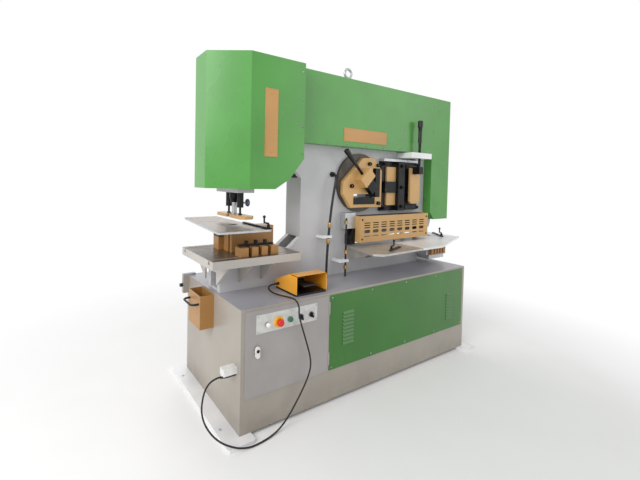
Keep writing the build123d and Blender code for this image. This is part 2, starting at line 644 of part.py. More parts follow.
with BuildPart() as shear_piston:
    upright(SHEAR_CYLINDER_X, 0, BEAM_TOP + ROD_GAP, FRAME_TOP - 100, SHEAR_ROD_DIAMETER)
    fillet(shear_piston.edges().filter_by(GeomType.CIRCLE).sort_by(Axis.Z)[0], 10)
finish(shear_piston, "shear_piston")

# Punch cylinder block with its guide plate
PUNCH_FRONT = PUNCH_X - PUNCH_BLOCK / 2
with BuildPart() as punch_cylinder:
    block(PUNCH_FRONT, HEAD_LEFT, -PUNCH_BLOCK / 2, PUNCH_BLOCK / 2, PUNCH_BLOCK_BOTTOM, PUNCH_BLOCK_TOP)
    block(PUNCH_X - GUIDE_WIDTH / 2, PUNCH_X + GUIDE_WIDTH / 2, -GUIDE_LENGTH / 2, GUIDE_LENGTH / 2, GUIDE_BOTTOM,
          PUNCH_BLOCK_BOTTOM)
    upright(PUNCH_X, 0, GUIDE_BOTTOM, RAM_TOP + 10, RAM_DIAMETER + 2 * FIT_CLEARANCE, Mode.SUBTRACT)
finish(punch_cylinder, "punch_cylinder")

# Punch ram with the tapered coupling nut on its end, and the punch
COUPLING_BOTTOM = GUIDE_BOTTOM - COUPLING_HEIGHT
PUNCH_TIP = COUPLING_BOTTOM - PUNCH_LENGTH
NUT_RADIUS = 33.5
NUT_TIP_RADIUS = 24.0
NUT_TAPER = 30.0
with BuildPart() as punch_ram:
    upright(PUNCH_X, 0, GUIDE_BOTTOM, RAM_TOP, RAM_DIAMETER)
    with BuildSketch(Plane.XZ):
        with BuildLine():
            Polyline((PUNCH_X, COUPLING_BOTTOM), (PUNCH_X + NUT_TIP_RADIUS, COUPLING_BOTTOM),
                     (PUNCH_X + NUT_RADIUS, COUPLING_BOTTOM + NUT_TAPER), (PUNCH_X + NUT_RADIUS, GUIDE_BOTTOM),
                     (PUNCH_X, GUIDE_BOTTOM), close=True)
        make_face()
    revolve(axis=Axis((PUNCH_X, 0, 0), (0, 0, 1)))
finish(punch_ram, "punch_ram")

with BuildPart() as punch:
    upright(PUNCH_X, 0, PUNCH_TIP, COUPLING_BOTTOM, PUNCH_DIAMETER)
finish(punch, "punch")

# Posts that carry the stripper, the stripper plate and its knob
POST_BOTTOM = GUIDE_BOTTOM - POST_LENGTH
with BuildPart() as stripper_posts:
    for side in (-1, 1):
        post_y = side * POST_SPACING / 2
        upright(PUNCH_X, post_y, POST_BOTTOM, GUIDE_BOTTOM, POST_DIAMETER)
        upright(PUNCH_X, post_y, STRIPPER_TOP, POST_BOTTOM, STUD_DIAMETER)
        upright(PUNCH_X, post_y, STRIPPER_TOP, STRIPPER_TOP + STUD_DIAMETER / 2, 2 * STUD_DIAMETER)
finish(stripper_posts, "stripper_posts")

PUNCH_RELIEF = PUNCH_DIAMETER + 8.0
with BuildPart() as stripper_plate:
    with BuildSketch(Plane.XY.offset(STRIPPER_TOP - STRIPPER_THICKNESS)):
        with Locations((PUNCH_X, 0)):
            Rectangle(STRIPPER_WIDTH, STRIPPER_LENGTH)
        with Locations((PUNCH_X - STRIPPER_WIDTH / 2, 0)):
            SlotCenterToCenter(STRIPPER_WIDTH, PUNCH_RELIEF, mode=Mode.SUBTRACT)
    extrude(amount=STRIPPER_THICKNESS)
    corners = stripper_plate.edges().filter_by(Axis.Z).group_by(Axis.Y)
    chamfer(corners[0] + corners[-1], STRIPPER_WIDTH / 4)
finish(stripper_plate, "stripper_plate")

KNOB_Z = POST_BOTTOM + 30.0
KNOB_STEM = 12.0
KNOB_GAP = 22.0
KNOB_WIDTH = 16.0
knob_start = PUNCH_X + POST_DIAMETER / 2
with BuildPart() as stripper_knob:
    with BuildSketch(Plane.YZ.offset(knob_start)):
        with Locations((-POST_SPACING / 2, KNOB_Z)):
            Circle(KNOB_STEM / 2)
    extrude(amount=KNOB_GAP)
    with BuildSketch(Plane.YZ.offset(knob_start + KNOB_GAP)):
        with Locations((-POST_SPACING / 2, KNOB_Z)):
            Circle(KNOB_DIAMETER / 2)
    extrude(amount=KNOB_WIDTH)
    fillet(stripper_knob.edges().filter_by(GeomType.CIRCLE).sort_by(Axis.X)[-1], KNOB_WIDTH / 4)
finish(stripper_knob, "stripper_knob")

# Lower table with two tee slots and three ribs on each side of the arm
TEE_NECK_DEPTH = 14.0
TEE_HEAD_DEPTH = 12.0
RIB_FOOT = 140.0
RIB_REACH = 158.0
RIB_TIP = 12.0
with BuildPart() as lower_table:
    block(LOWER_TABLE_LEFT, TABLE_END, -LOWER_TABLE_HALF, LOWER_TABLE_HALF, ARM_TOP, LOWER_TABLE_TOP)
    for side in (-1, 1):
        with BuildSketch(Plane.YZ.offset(LOWER_TABLE_LEFT)):
            with Locations((side * TEE_Y, LOWER_TABLE_TOP - TEE_NECK_DEPTH / 2)):
                Rectangle(TEE_NECK, TEE_NECK_DEPTH)
            with Locations((side * TEE_Y, LOWER_TABLE_TOP - TEE_NECK_DEPTH - TEE_HEAD_DEPTH / 2)):
                Rectangle(TEE_HEAD, TEE_HEAD_DEPTH)
        extrude(amount=TABLE_END - LOWER_TABLE_LEFT, mode=Mode.SUBTRACT)
        for rib_x in RIB_XS:
            with BuildSketch(Plane.YZ.offset(rib_x)):
                with BuildLine():
                    Polyline((side * FRAME_FACE, ARM_TOP), (side * (FRAME_FACE + RIB_REACH), ARM_TOP),
                             (side * (FRAME_FACE + RIB_REACH), ARM_TOP - RIB_TIP),
                             (side * FRAME_FACE, ARM_TOP - RIB_FOOT), close=True)
                make_face()
            extrude(amount=RIB_THICKNESS)
    upright(PUNCH_X, 0, ARM_TOP, LOWER_TABLE_TOP, SLUG_HOLE, Mode.SUBTRACT)
finish(lower_table, "lower_table")

# Upper table on the die holder, narrower towards the back
with BuildPart() as upper_table:
    with BuildSketch(Plane.XY.offset(UPPER_TABLE_BOTTOM)):
        with BuildLine():
            Polyline((UPPER_TABLE_LEFT, UPPER_TABLE_FRONT), (UPPER_TABLE_RIGHT, UPPER_TABLE_FRONT),
                     (UPPER_TABLE_RIGHT, UPPER_TABLE_BACK), (UPPER_TABLE_LEFT + UPPER_TABLE_TAPER, UPPER_TABLE_BACK),
                     close=True)
        make_face()
    extrude(amount=UPPER_TABLE_THICKNESS)
    fillet(upper_table.edges().filter_by(Axis.Z), 15)
    upright(PUNCH_X, 0, UPPER_TABLE_BOTTOM, UPPER_TABLE_TOP, DIE_DIAMETER, Mode.SUBTRACT)
finish(upper_table, "upper_table")

HOLDER_LEFT = -960.0
HOLDER_RIGHT = -640.0
HOLDER_HALF = 60.0
END_GROOVE_FRONT = -46.0
END_GROOVE_WIDTH = 30.0
END_GROOVE_DEPTH = 14.0
DIE_HEIGHT = 32.0
with BuildPart() as die_holder:
    block(HOLDER_LEFT, HOLDER_RIGHT, -HOLDER_HALF, HOLDER_HALF, LOWER_TABLE_TOP, UPPER_TABLE_BOTTOM)
    chamfer(die_holder.edges().filter_by(Axis.Z), 6)
    block(HOLDER_LEFT, HOLDER_LEFT + END_GROOVE_DEPTH, END_GROOVE_FRONT, END_GROOVE_FRONT + END_GROOVE_WIDTH,
          LOWER_TABLE_TOP, UPPER_TABLE_BOTTOM, Mode.SUBTRACT)
    upright(PUNCH_X, 0, LOWER_TABLE_TOP, UPPER_TABLE_BOTTOM, SLUG_HOLE, Mode.SUBTRACT)
    upright(PUNCH_X, 0, UPPER_TABLE_TOP - DIE_HEIGHT, UPPER_TABLE_BOTTOM, DIE_DIAMETER, Mode.SUBTRACT)
finish(die_holder, "die_holder")

# Bending tools on the lower table: a vee block and a slotted die with its clamp bar
VEE_LEFT = -990.0
VEE_RIGHT = -930.0
VEE_FRONT = 70.0
VEE_BACK = 156.0
VEE_TOP = 1060.0
VEE_DEPTH = 26.0
VEE_EDGE = 12.0
COMB_LEFT = -971.0
COMB_LENGTH = 268.0
COMB_FRONT = -225.0
COMB_DEPTH = 80.0
COMB_HEIGHT = 54.0
COMB_SLOTS = 3
COMB_SLOT = 24.0
COMB_PITCH = 68.0
comb_middle = COMB_LEFT + COMB_LENGTH / 2
CLAMP_DEPTH = 30.0
CLAMP_HEIGHT = 12.0
clamp_z = LOWER_TABLE_TOP + COMB_HEIGHT
with BuildPart() as bending_tools:
    with BuildSketch(Plane.XZ.offset(-VEE_FRONT)):
        with BuildLine():
            Polyline((VEE_LEFT, LOWER_TABLE_TOP), (VEE_RIGHT, LOWER_TABLE_TOP), (VEE_RIGHT, VEE_TOP),
                     (VEE_RIGHT - VEE_EDGE, VEE_TOP), ((VEE_LEFT + VEE_RIGHT) / 2, VEE_TOP - VEE_DEPTH),
                     (VEE_LEFT + VEE_EDGE, VEE_TOP), (VEE_LEFT, VEE_TOP), close=True)
        make_face()
    extrude(amount=VEE_FRONT - VEE_BACK)
    block(COMB_LEFT, COMB_LEFT + COMB_LENGTH, COMB_FRONT, COMB_FRONT + COMB_DEPTH, LOWER_TABLE_TOP,
          LOWER_TABLE_TOP + COMB_HEIGHT)
    for slot in range(COMB_SLOTS):
        slot_x = comb_middle + (slot - (COMB_SLOTS - 1) / 2) * COMB_PITCH
        block(slot_x - COMB_SLOT / 2, slot_x + COMB_SLOT / 2, COMB_FRONT, COMB_FRONT + COMB_DEPTH / 2,
              LOWER_TABLE_TOP, LOWER_TABLE_TOP + COMB_HEIGHT, Mode.SUBTRACT)
    block(COMB_LEFT + 12, COMB_LEFT + COMB_LENGTH - 12, COMB_FRONT + COMB_DEPTH - CLAMP_DEPTH - 4,
          COMB_FRONT + COMB_DEPTH - 4, clamp_z, clamp_z + CLAMP_HEIGHT)
    for slot in range(COMB_SLOTS):
        upright(comb_middle + (slot - (COMB_SLOTS - 1) / 2) * COMB_PITCH, COMB_FRONT + COMB_DEPTH - CLAMP_DEPTH / 2 - 4,
                clamp_z + CLAMP_HEIGHT, clamp_z + CLAMP_HEIGHT + 14, 24)
finish(bending_tools, "bending_tools")


# Gauges: a bar that lies on a table and slides, clamped by a lever
GAUGE_WIDTH = 22.0
GAUGE_HEIGHT = 10.0
LEVER_REACH = 52.0
SHEAR_GAUGE_LENGTH = 210.0
NOTCH_GAUGE_LENGTH = 250.0
LEVER_HUB = 9.0
LEVER_GAP = 0.3


def gauge_bar(plane, length, width, height):
    """Add a flat gauge bar with a raised clamp boss at its near end, in the plane's own axes."""
    with BuildSketch(plane) as bar:
        Rectangle(length, width, align=(Align.MIN, Align.CENTER))
    extrude(bar.sketch, amount=height)
    with BuildSketch(plane.offset(height)) as boss:
        with Locations((width, 0)):
            Circle(width * 0.45)
    extrude(boss.sketch, amount=height)


def clamp_lever(plane, height, reach):
    """Add a clamp lever: a hub on the boss and a handle that leans up and away."""
    with BuildSketch(plane.offset(height)) as hub:
        Circle(LEVER_HUB)
    extrude(hub.sketch, amount=LEVER_HUB)
    with BuildSketch(plane.offset(height + LEVER_HUB)) as arm:
        SlotCenterPoint((reach / 2, 0), (reach, 0), LEVER_HUB)
    extrude(arm.sketch, amount=LEVER_HUB)
    with BuildSketch(plane.offset(height + 2 * LEVER_HUB)) as handle:
        with Locations((reach, 0)):
            Circle(LEVER_HUB * 0.6)
    extrude(handle.sketch, amount=reach / 2)


punch_gauge_plane = Plane(origin=(GAUGE_X, GAUGE_FRONT, UPPER_TABLE_TOP + LEVER_GAP), x_dir=(0, 1, 0), z_dir=(0, 0, 1))
shear_gauge_plane = Plane(origin=(112, -440, BLADE_TOP + LEVER_GAP), x_dir=(0.93, 0.36, 0), z_dir=(0, 0, 1))
notch_gauge_plane = Plane(origin=(1120, -190, BLADE_TOP + LEVER_GAP), x_dir=(0.6, 0.8, 0), z_dir=(0, 0, 1))


def lever_plane(plane):
    """Plane of the clamp lever that stands on a gauge's boss."""
    return Plane(origin=plane.from_local_coords(Vector(GAUGE_WIDTH, 0, 0)), x_dir=plane.x_dir, z_dir=(0, 0, 1))


with BuildPart() as punch_gauge:
    gauge_bar(punch_gauge_plane, GAUGE_LENGTH, GAUGE_WIDTH, GAUGE_HEIGHT)
finish(punch_gauge, "punch_gauge")

with BuildPart() as punch_clamp_lever:
    clamp_lever(lever_plane(punch_gauge_plane), 2 * GAUGE_HEIGHT + LEVER_GAP, LEVER_REACH)
finish(punch_clamp_lever, "punch_clamp_lever")

with BuildPart() as shear_gauge:
    gauge_bar(shear_gauge_plane, SHEAR_GAUGE_LENGTH, GAUGE_WIDTH, GAUGE_HEIGHT)
    clamp_lever(lever_plane(shear_gauge_plane), 2 * GAUGE_HEIGHT, LEVER_REACH)
finish(shear_gauge, "shear_gauge")

with BuildPart() as notch_gauge:
    gauge_bar(notch_gauge_plane, NOTCH_GAUGE_LENGTH, GAUGE_WIDTH, GAUGE_HEIGHT)
    clamp_lever(lever_plane(notch_gauge_plane), 2 * GAUGE_HEIGHT, LEVER_REACH)
finish(notch_gauge, "notch_gauge")

# Angle shear: housing plate on its backing ring, with the bolt heads
HOUSING_OUTLINE = (
    (113, 1611),
    (235, 1618),
    (326, 1517),
    (326, 1224),
    (-10, 1224),
    (-91, 1331),
    (-90, 1424),
)
HOUSING_BOLTS = ((175, 1567), (-12, 1392), (284, 1256), (270, 1560))
BOLT_HEAD = 14.0
BOLT_ACROSS = 26.0
with BuildPart() as angle_housing:
    side_plate(HOUSING_OUTLINE, HOUSING_FRONT, HOUSING_THICKNESS)
    chamfer(angle_housing.faces().sort_by(Axis.Y)[0].outer_wire().edges(), 3)
    cross_bar(ANGLE_X, ANGLE_Z, RING_FRONT, -FRAME_FACE, ANGLE_RING)
    angle_window(HOUSING_FRONT, RING_THICKNESS + HOUSING_THICKNESS)
    for bolt_x, bolt_z in HOUSING_BOLTS:
        cross_bar(bolt_x, bolt_z, HOUSING_FRONT - BOLT_HEAD, HOUSING_FRONT, BOLT_ACROSS)
finish(angle_housing, "angle_housing")

BLADE_BACK = -FRAME_GAP - FIT_CLEARANCE

# Angle hold-down: a nut block on the housing, a screw on the bisector and its pad
BISECTOR = Plane(origin=(LEG_X, ANGLE_SCREW_Y, LEG_Z), x_dir=(0, 1, 0), z_dir=(-1, 0, 1))
NUT_START = 178.0
NUT_LENGTH = 84.0
NUT_WIDTH = 130.0
NUT_DEPTH = 2 * (HOUSING_FRONT - ANGLE_SCREW_Y)
PAD_START = 84.0
PAD_END = 168.0
PAD_WIDTH = 84.0
PAD_DEPTH = 44.0
SCREW_END = 500.0
GRIP_START = 330.0
SCREW_HOLD = 26.0
with BuildPart() as angle_nut_block:
    with BuildSketch(BISECTOR.offset(NUT_START)):
        Rectangle(NUT_DEPTH, NUT_WIDTH)
        Circle(SCREW_DIAMETER / 2 + FIT_CLEARANCE, mode=Mode.SUBTRACT)
    extrude(amount=NUT_LENGTH)
finish(angle_nut_block, "angle_nut_block")

with BuildPart() as angle_pad:
    with BuildSketch(BISECTOR.offset(PAD_START)):
        Rectangle(PAD_DEPTH, PAD_WIDTH)
    extrude(amount=PAD_END - PAD_START)
    with BuildSketch(BISECTOR.offset(PAD_END - SCREW_HOLD)):
        Circle(SCREW_DIAMETER / 2 + FIT_CLEARANCE)
    extrude(amount=SCREW_HOLD, mode=Mode.SUBTRACT)
finish(angle_pad, "angle_pad")


def hold_down_screw(plane, start, grip_start, end):
    """Add a clamping screw with a thick grip that narrows towards the thread."""
    with BuildSketch(plane.offset(start)) as thread:
        Circle(SCREW_DIAMETER / 2)
    extrude(thread.sketch, amount=grip_start - start)
    with BuildSketch(plane.offset(grip_start)) as grip_root:
        Circle(SCREW_DIAMETER / 2)
    with BuildSketch(plane.offset(end)) as grip_end:
        Circle(GRIP_DIAMETER / 2)
    loft([grip_root.sketch.face(), grip_end.sketch.face()])


with BuildPart() as angle_screw:
    hold_down_screw(BISECTOR, PAD_END - SCREW_HOLD + LEVER_GAP, GRIP_START, SCREW_END)
finish(angle_screw, "angle_screw")

# Section shear: base plate with its two bars
PANEL_THICKNESS = 16.0
BAR_THICKNESS = 48.0
CROSS_BOTTOM = 1340.0
CROSS_TOP = 1432.0
PANEL_INSET = 18.0
panel_front = SECTION_FACE - PANEL_THICKNESS
bar_front = SECTION_FACE - BAR_THICKNESS
with BuildPart() as section_base:
    block(SECTION_BAR_LEFT, SECTION_BAR_RIGHT, bar_front, SECTION_FACE, SECTION_BOTTOM, SECTION_TOP)
    block(SECTION_LEFT + PANEL_INSET, SECTION_BAR_LEFT, bar_front + PANEL_THICKNESS, SECTION_FACE, CROSS_BOTTOM,
          CROSS_TOP)
    chamfer(section_base.edges().filter_by(Axis.Z).group_by(Axis.Y)[0], 4)
    block(SECTION_LEFT, SECTION_RIGHT, SECTION_FACE, -FRAME_FACE, SECTION_BOTTOM, SECTION_TOP)
    section_holes(SECTION_FACE, -FRAME_FACE)
    for corner_x in (SECTION_LEFT + 24, SECTION_RIGHT - 24):
        for corner_z in (SECTION_BOTTOM + 22, SECTION_TOP - 22):
            cross_bar(corner_x, corner_z, SECTION_FACE - 14, SECTION_FACE, 26)
finish(section_base, "section_base")

# Two face panels and two guides, the plate that slides on the guides with its foot, and its screw
GUIDE_LEFT = 664.0
GUIDE_RIGHT = 792.0
SLIDE_FRONT = bar_front
SLIDE_THICKNESS = 18.0
SLIDE_BOTTOM = 1246.0
SLIDE_TOP = 1552.0
SLIDE_GAP = 0.3
slide_back = SLIDE_FRONT + SLIDE_THICKNESS
with BuildPart() as section_panels:
    panel_left = SECTION_LEFT + 2 * PANEL_INSET + 16
    block(panel_left, SECTION_BAR_LEFT, panel_front, SECTION_FACE, SECTION_BOTTOM + 46, CROSS_BOTTOM)
    block(panel_left, SECTION_BAR_LEFT, panel_front, SECTION_FACE, CROSS_TOP, SECTION_TOP - 46)
    for guide_z in (SECTION_BOTTOM + 10, SECTION_TOP - 56):
        block(GUIDE_LEFT - 40, GUIDE_RIGHT - 20, slide_back + SLIDE_GAP, SECTION_FACE, guide_z, guide_z + 34)
finish(section_panels, "section_panels")

FOOT_WIDE = 52.0
FOOT_HEIGHT = 62.0
FOOT_FRONT = SECTION_SCREW_Y - 22.0
foot_bottom = SLIDE_TOP - FOOT_HEIGHT + 10
with BuildPart() as section_slide:
    block(GUIDE_LEFT, GUIDE_RIGHT, SLIDE_FRONT, slide_back, SLIDE_BOTTOM, SLIDE_TOP)
    chamfer(section_slide.edges().filter_by(Axis.Y).group_by(Axis.Z)[0], 20)
    block(SECTION_SCREW_X - FOOT_WIDE / 2, SECTION_SCREW_X + FOOT_WIDE / 2, FOOT_FRONT, SLIDE_FRONT, foot_bottom,
          foot_bottom + FOOT_HEIGHT)
    upright(SECTION_SCREW_X, SECTION_SCREW_Y, foot_bottom + FOOT_HEIGHT - SCREW_HOLD, foot_bottom + FOOT_HEIGHT,
            SCREW_DIAMETER + 2 * FIT_CLEARANCE, Mode.SUBTRACT)
finish(section_slide, "section_slide")

BRACKET_LEFT = 585.0
BRACKET_RIGHT = 850.0
BRACKET_BOTTOM = 1634.0
BRACKET_HEIGHT = 46.0
BRACKET_EDGE = 30.0
RAIL_DEPTH = 58.0
RAIL_HEIGHT = 20.0
with BuildPart() as screw_bracket:
    block(BRACKET_LEFT, BRACKET_RIGHT, SECTION_SCREW_Y - BRACKET_EDGE, -FRAME_FACE, BRACKET_BOTTOM,
          BRACKET_BOTTOM + BRACKET_HEIGHT)
    chamfer(screw_bracket.edges().filter_by(Axis.Z).group_by(Axis.Y)[0], 8)
    upright(SECTION_SCREW_X, SECTION_SCREW_Y, BRACKET_BOTTOM, BRACKET_BOTTOM + BRACKET_HEIGHT,
            SCREW_DIAMETER + 2 * FIT_CLEARANCE, Mode.SUBTRACT)
    block(SECTION_LEFT, SECTION_RIGHT, -FRAME_FACE - RAIL_DEPTH, -FRAME_FACE, SECTION_TOP, SECTION_TOP + RAIL_HEIGHT)
    block(SECTION_RIGHT - BRACKET_EDGE, SECTION_RIGHT, -FRAME_FACE - BRACKET_EDGE, -FRAME_FACE, SECTION_TOP,
          BRACKET_BOTTOM)
finish(screw_bracket, "screw_bracket")

section_screw_start = foot_bottom + FOOT_HEIGHT - SCREW_HOLD + LEVER_GAP
section_screw_plane = Plane(origin=(SECTION_SCREW_X, SECTION_SCREW_Y, 0), x_dir=(1, 0, 0), z_dir=(0, 0, 1))
with BuildPart() as section_screw:
    hold_down_screw(section_screw_plane, section_screw_start, 1760.0, 1950.0)
finish(section_screw, "section_screw")

# Fixed blades and dies: angle blades, bar inserts, flat blade, punch die and notching die
die_half_x = NOTCH_LENGTH / 2 + NOTCH_CLEARANCE
die_half_y = NOTCH_WIDTH / 2 + FIT_CLEARANCE
with BuildPart() as blades_and_dies:
    front = HOUSING_FRONT - BLADE_PROUD
    block(LEG_X - LEG_LENGTH, LEG_X - BLADE_CORNER, front, BLADE_BACK, LEG_Z - BLADE_WIDTH, LEG_Z)
    block(LEG_X, LEG_X + BLADE_WIDTH, front, BLADE_BACK, LEG_Z + BLADE_CORNER, LEG_Z + LEG_LENGTH)
    for hole_z in (ROUND_Z, SQUARE_Z):
        cross_bar(SECTION_HOLE_X, hole_z, -FRAME_FACE, BLADE_BACK, INSERT_DIAMETER)
    section_holes(-FRAME_FACE, BLADE_BACK)
    block(SLOT_LEFT + 4, SLOT_RIGHT - 4, -FRAME_FACE, BLADE_BACK, BLADE_TOP - BLADE_HEIGHT, BLADE_TOP)
    upright(PUNCH_X, 0, UPPER_TABLE_TOP - DIE_HEIGHT, UPPER_TABLE_TOP, DIE_DIAMETER)
    upright(PUNCH_X, 0, UPPER_TABLE_TOP - DIE_HEIGHT, UPPER_TABLE_TOP, DIE_BORE, Mode.SUBTRACT)
    with BuildSketch(Plane.XY.offset(BLADE_TOP - TABLE_THICKNESS)):
        with Locations((NOTCH_X, 0)):
            Rectangle(2 * (die_half_x + DIE_RIM), 2 * (die_half_y + DIE_RIM))
            Rectangle(2 * die_half_x, 2 * die_half_y, mode=Mode.SUBTRACT)
    extrude(amount=TABLE_THICKNESS)
finish(blades_and_dies, "blades_and_dies")

# Flat shear: slotted guard with its dark top sheet and the cheek at its left end
SLOT_WIDTH = 66.0
SLOT_HEIGHT = 8.0
HAND_SLOT_HEIGHT = 25.0
SLOT_HEIGHTS = (1108.0, 1090.0, 1072.0, 1006.0)
HAND_SLOT_Z = 1042.0
FIRST_SLOT_X = 120.0
with BuildPart() as flat_guard:
    block(GUARD_LEFT, GUARD_RIGHT, -GUARD_FRONT, -FRAME_FACE, GUARD_BOTTOM, GUARD_TOP)
    block(GUARD_LEFT + GUARD_SHEET, GUARD_RIGHT - GUARD_SHEET, GUARD_SHEET - GUARD_FRONT, -FRAME_FACE, GUARD_BOTTOM,
          GUARD_TOP, Mode.SUBTRACT)
    with BuildSketch(Plane.XZ.offset(GUARD_FRONT)):
        for slot_z in SLOT_HEIGHTS:
            with Locations((FIRST_SLOT_X + (GUARD_COLUMNS - 1) * GUARD_PITCH / 2, slot_z)):
                with GridLocations(GUARD_PITCH, 0, GUARD_COLUMNS, 1):
                    Rectangle(SLOT_WIDTH, SLOT_HEIGHT)
        with Locations((FIRST_SLOT_X + (GUARD_COLUMNS - 1) * GUARD_PITCH / 2, HAND_SLOT_Z)):
            with GridLocations(GUARD_PITCH, 0, GUARD_COLUMNS, 1):
                SlotOverall(SLOT_WIDTH, HAND_SLOT_HEIGHT)
    extrude(amount=-GUARD_SHEET, mode=Mode.SUBTRACT)
    block(GUARD_LEFT + GUARD_SHEET, GUARD_RIGHT - GUARD_SHEET, GUARD_SHEET - GUARD_FRONT, -FRAME_FACE,
          GUARD_TOP - 2 * GUARD_SHEET, GUARD_TOP - GUARD_SHEET)
    side_plate(((CHEEK_LEFT, BLADE_TOP + CHEEK_GAP), (GUARD_LEFT, BLADE_TOP + CHEEK_GAP), (GUARD_LEFT, BOX_BOTTOM),
                (CHEEK_LEFT + 30, BOX_BOTTOM), (CHEEK_LEFT, BOX_BOTTOM - 50)), BOX_FRONT, -FRAME_FACE - BOX_FRONT)
finish(flat_guard, "flat_guard")

# Shear table with its two brackets, and the notching table beside it
TABLE_JOINT = 441.0
TABLE_CORNER_X = -75.0
TABLE_NOSE_X = -20.0
BRACKET_DROP = 110.0
BRACKET_REACH = 300.0
with BuildPart() as shear_table:
    with BuildSketch(Plane.XY.offset(BLADE_TOP - TABLE_THICKNESS)):
        with BuildLine():
            Polyline((TABLE_LEFT, -FRAME_FACE), (TABLE_CORNER_X, -TABLE_FRONT + 30), (TABLE_NOSE_X, -TABLE_FRONT - 20),
                     (TABLE_JOINT, -TABLE_FRONT), (TABLE_JOINT, -FRAME_FACE), close=True)
        make_face()
    extrude(amount=TABLE_THICKNESS)
    for bracket_x in (TABLE_LEFT + 20, TABLE_LEFT + 220, TABLE_JOINT - 30):
        with BuildSketch(Plane.YZ.offset(bracket_x)):
            with BuildLine():
                table_bottom = BLADE_TOP - TABLE_THICKNESS
                Polyline((-FRAME_FACE, table_bottom), (-FRAME_FACE - BRACKET_REACH, table_bottom),
                         (-FRAME_FACE, table_bottom - BRACKET_DROP), close=True)
            make_face()
        extrude(amount=RIB_THICKNESS)
finish(shear_table, "shear_table")

NOTCH_TABLE_RIGHT = 1300.0
NOTCH_TABLE_BACK = 120.0
with BuildPart() as notch_table:
    with BuildSketch(Plane.XY.offset(BLADE_TOP - TABLE_THICKNESS)):
        with BuildLine():
            Polyline((TABLE_JOINT, -FRAME_FACE), (TABLE_JOINT, -TABLE_FRONT), (690, -TABLE_FRONT), (1093, -319),
                     (NOTCH_TABLE_RIGHT, -247), (NOTCH_TABLE_RIGHT, NOTCH_TABLE_BACK), (FRAME_RIGHT, NOTCH_TABLE_BACK),
                     (FRAME_RIGHT, -FRAME_FACE), close=True)
        make_face()
        with Locations((NOTCH_X, 0)):
            Rectangle(2 * (die_half_x + DIE_RIM), 2 * (die_half_y + DIE_RIM), mode=Mode.SUBTRACT)
    extrude(amount=TABLE_THICKNESS)
finish(notch_table, "notch_table")

NOTCH_BOX_BOTTOM = 750.0
NOTCH_BOX_BACK = 140.0
NOTCH_BOX_SHEET = 10.0
notch_box_top = BLADE_TOP - TABLE_THICKNESS
TOOL_TEETH = 5
TOOL_BOTTOM = 790.0
TOOL_HEIGHT = 76.0
TOOL_DEPTH = 26.0
TOOL_LENGTH = 206.0
TOOL_SLOT = 18.0
tool_left = NOTCH_BOX_RIGHT - 12 - TOOL_LENGTH
with BuildPart() as notch_box:
    block(FRAME_RIGHT, NOTCH_BOX_RIGHT, -NOTCH_BOX_FRONT, NOTCH_BOX_BACK, NOTCH_BOX_BOTTOM, notch_box_top)
    block(FRAME_RIGHT + NOTCH_BOX_SHEET, NOTCH_BOX_RIGHT - NOTCH_BOX_SHEET, NOTCH_BOX_SHEET - NOTCH_BOX_FRONT,
          NOTCH_BOX_BACK - NOTCH_BOX_SHEET, NOTCH_BOX_BOTTOM, notch_box_top - NOTCH_BOX_SHEET, Mode.SUBTRACT)
    block(NOTCH_BOX_LEFT, FRAME_RIGHT, -NOTCH_BOX_FRONT, -FRAME_FACE, NOTCH_BOX_BOTTOM + 40, notch_box_top)
    block(NOTCH_X - die_half_x, NOTCH_X + die_half_x, -die_half_y, die_half_y, notch_box_top - NOTCH_BOX_SHEET,
          notch_box_top, Mode.SUBTRACT)
    block(tool_left, tool_left + TOOL_LENGTH, -NOTCH_BOX_FRONT - TOOL_DEPTH, -NOTCH_BOX_FRONT, TOOL_BOTTOM,
          TOOL_BOTTOM + TOOL_HEIGHT)
    for tooth in range(1, TOOL_TEETH):
        slot_x = tool_left + tooth * TOOL_LENGTH / TOOL_TEETH
        block(slot_x - TOOL_SLOT / 2, slot_x + TOOL_SLOT / 2, -NOTCH_BOX_FRONT - TOOL_DEPTH,
              -NOTCH_BOX_FRONT - TOOL_DEPTH / 2, TOOL_BOTTOM + 10, TOOL_BOTTOM + TOOL_HEIGHT - 10, Mode.SUBTRACT)
finish(notch_box, "notch_box")

# Stroke rod with its three stop collars
COLLAR_HEIGHT = 26.0
COLLAR_HEIGHTS = (783.0, 897.0, 1119.0)
with BuildPart() as stroke_rod:
    upright(STROKE_ROD_X, STROKE_ROD_Y, ROD_BOTTOM, ROD_TOP, ROD_DIAMETER)
    for collar_z in COLLAR_HEIGHTS:
        upright(STROKE_ROD_X, STROKE_ROD_Y, collar_z - COLLAR_HEIGHT / 2, collar_z + COLLAR_HEIGHT / 2, COLLAR_DIAMETER)
finish(stroke_rod, "stroke_rod")

# Pipe and cable: straight runs joined by the largest arcs that both runs allow
def corner_radii(points):
    """Radius of each corner: 0.45 of the shorter run over the tangent of half the turn."""
    radii = []
    for before, corner, after in zip(points, points[1:], points[2:]):
        run_in = Vector(*corner) - Vector(*before)
        run_out = Vector(*after) - Vector(*corner)
        half_turn = math.radians(run_in.get_angle(run_out)) / 2
        radii.append(0.45 * min(run_in.length, run_out.length) / math.tan(half_turn))
    return radii


def bent_tube(name, points, diameter):
    """Sweep a round section along the route and compare its volume with section times length."""
    radii = corner_radii(points)
    with BuildPart() as tube:
        with BuildLine() as route:
            path = FilletPolyline(*points, radius=radii)
        with BuildSketch(Plane(origin=path @ 0, z_dir=path % 0)):
            Circle(diameter / 2)
        sweep()
    finish(tube, name)
    length = route.wires()[0].length
    section = math.pi * diameter ** 2 / 4
    print(name, "length", round(length), "volume ratio", round(tube.part.volume / (section * length), 4))
    print(name, "radii", [round(r) for r in radii])


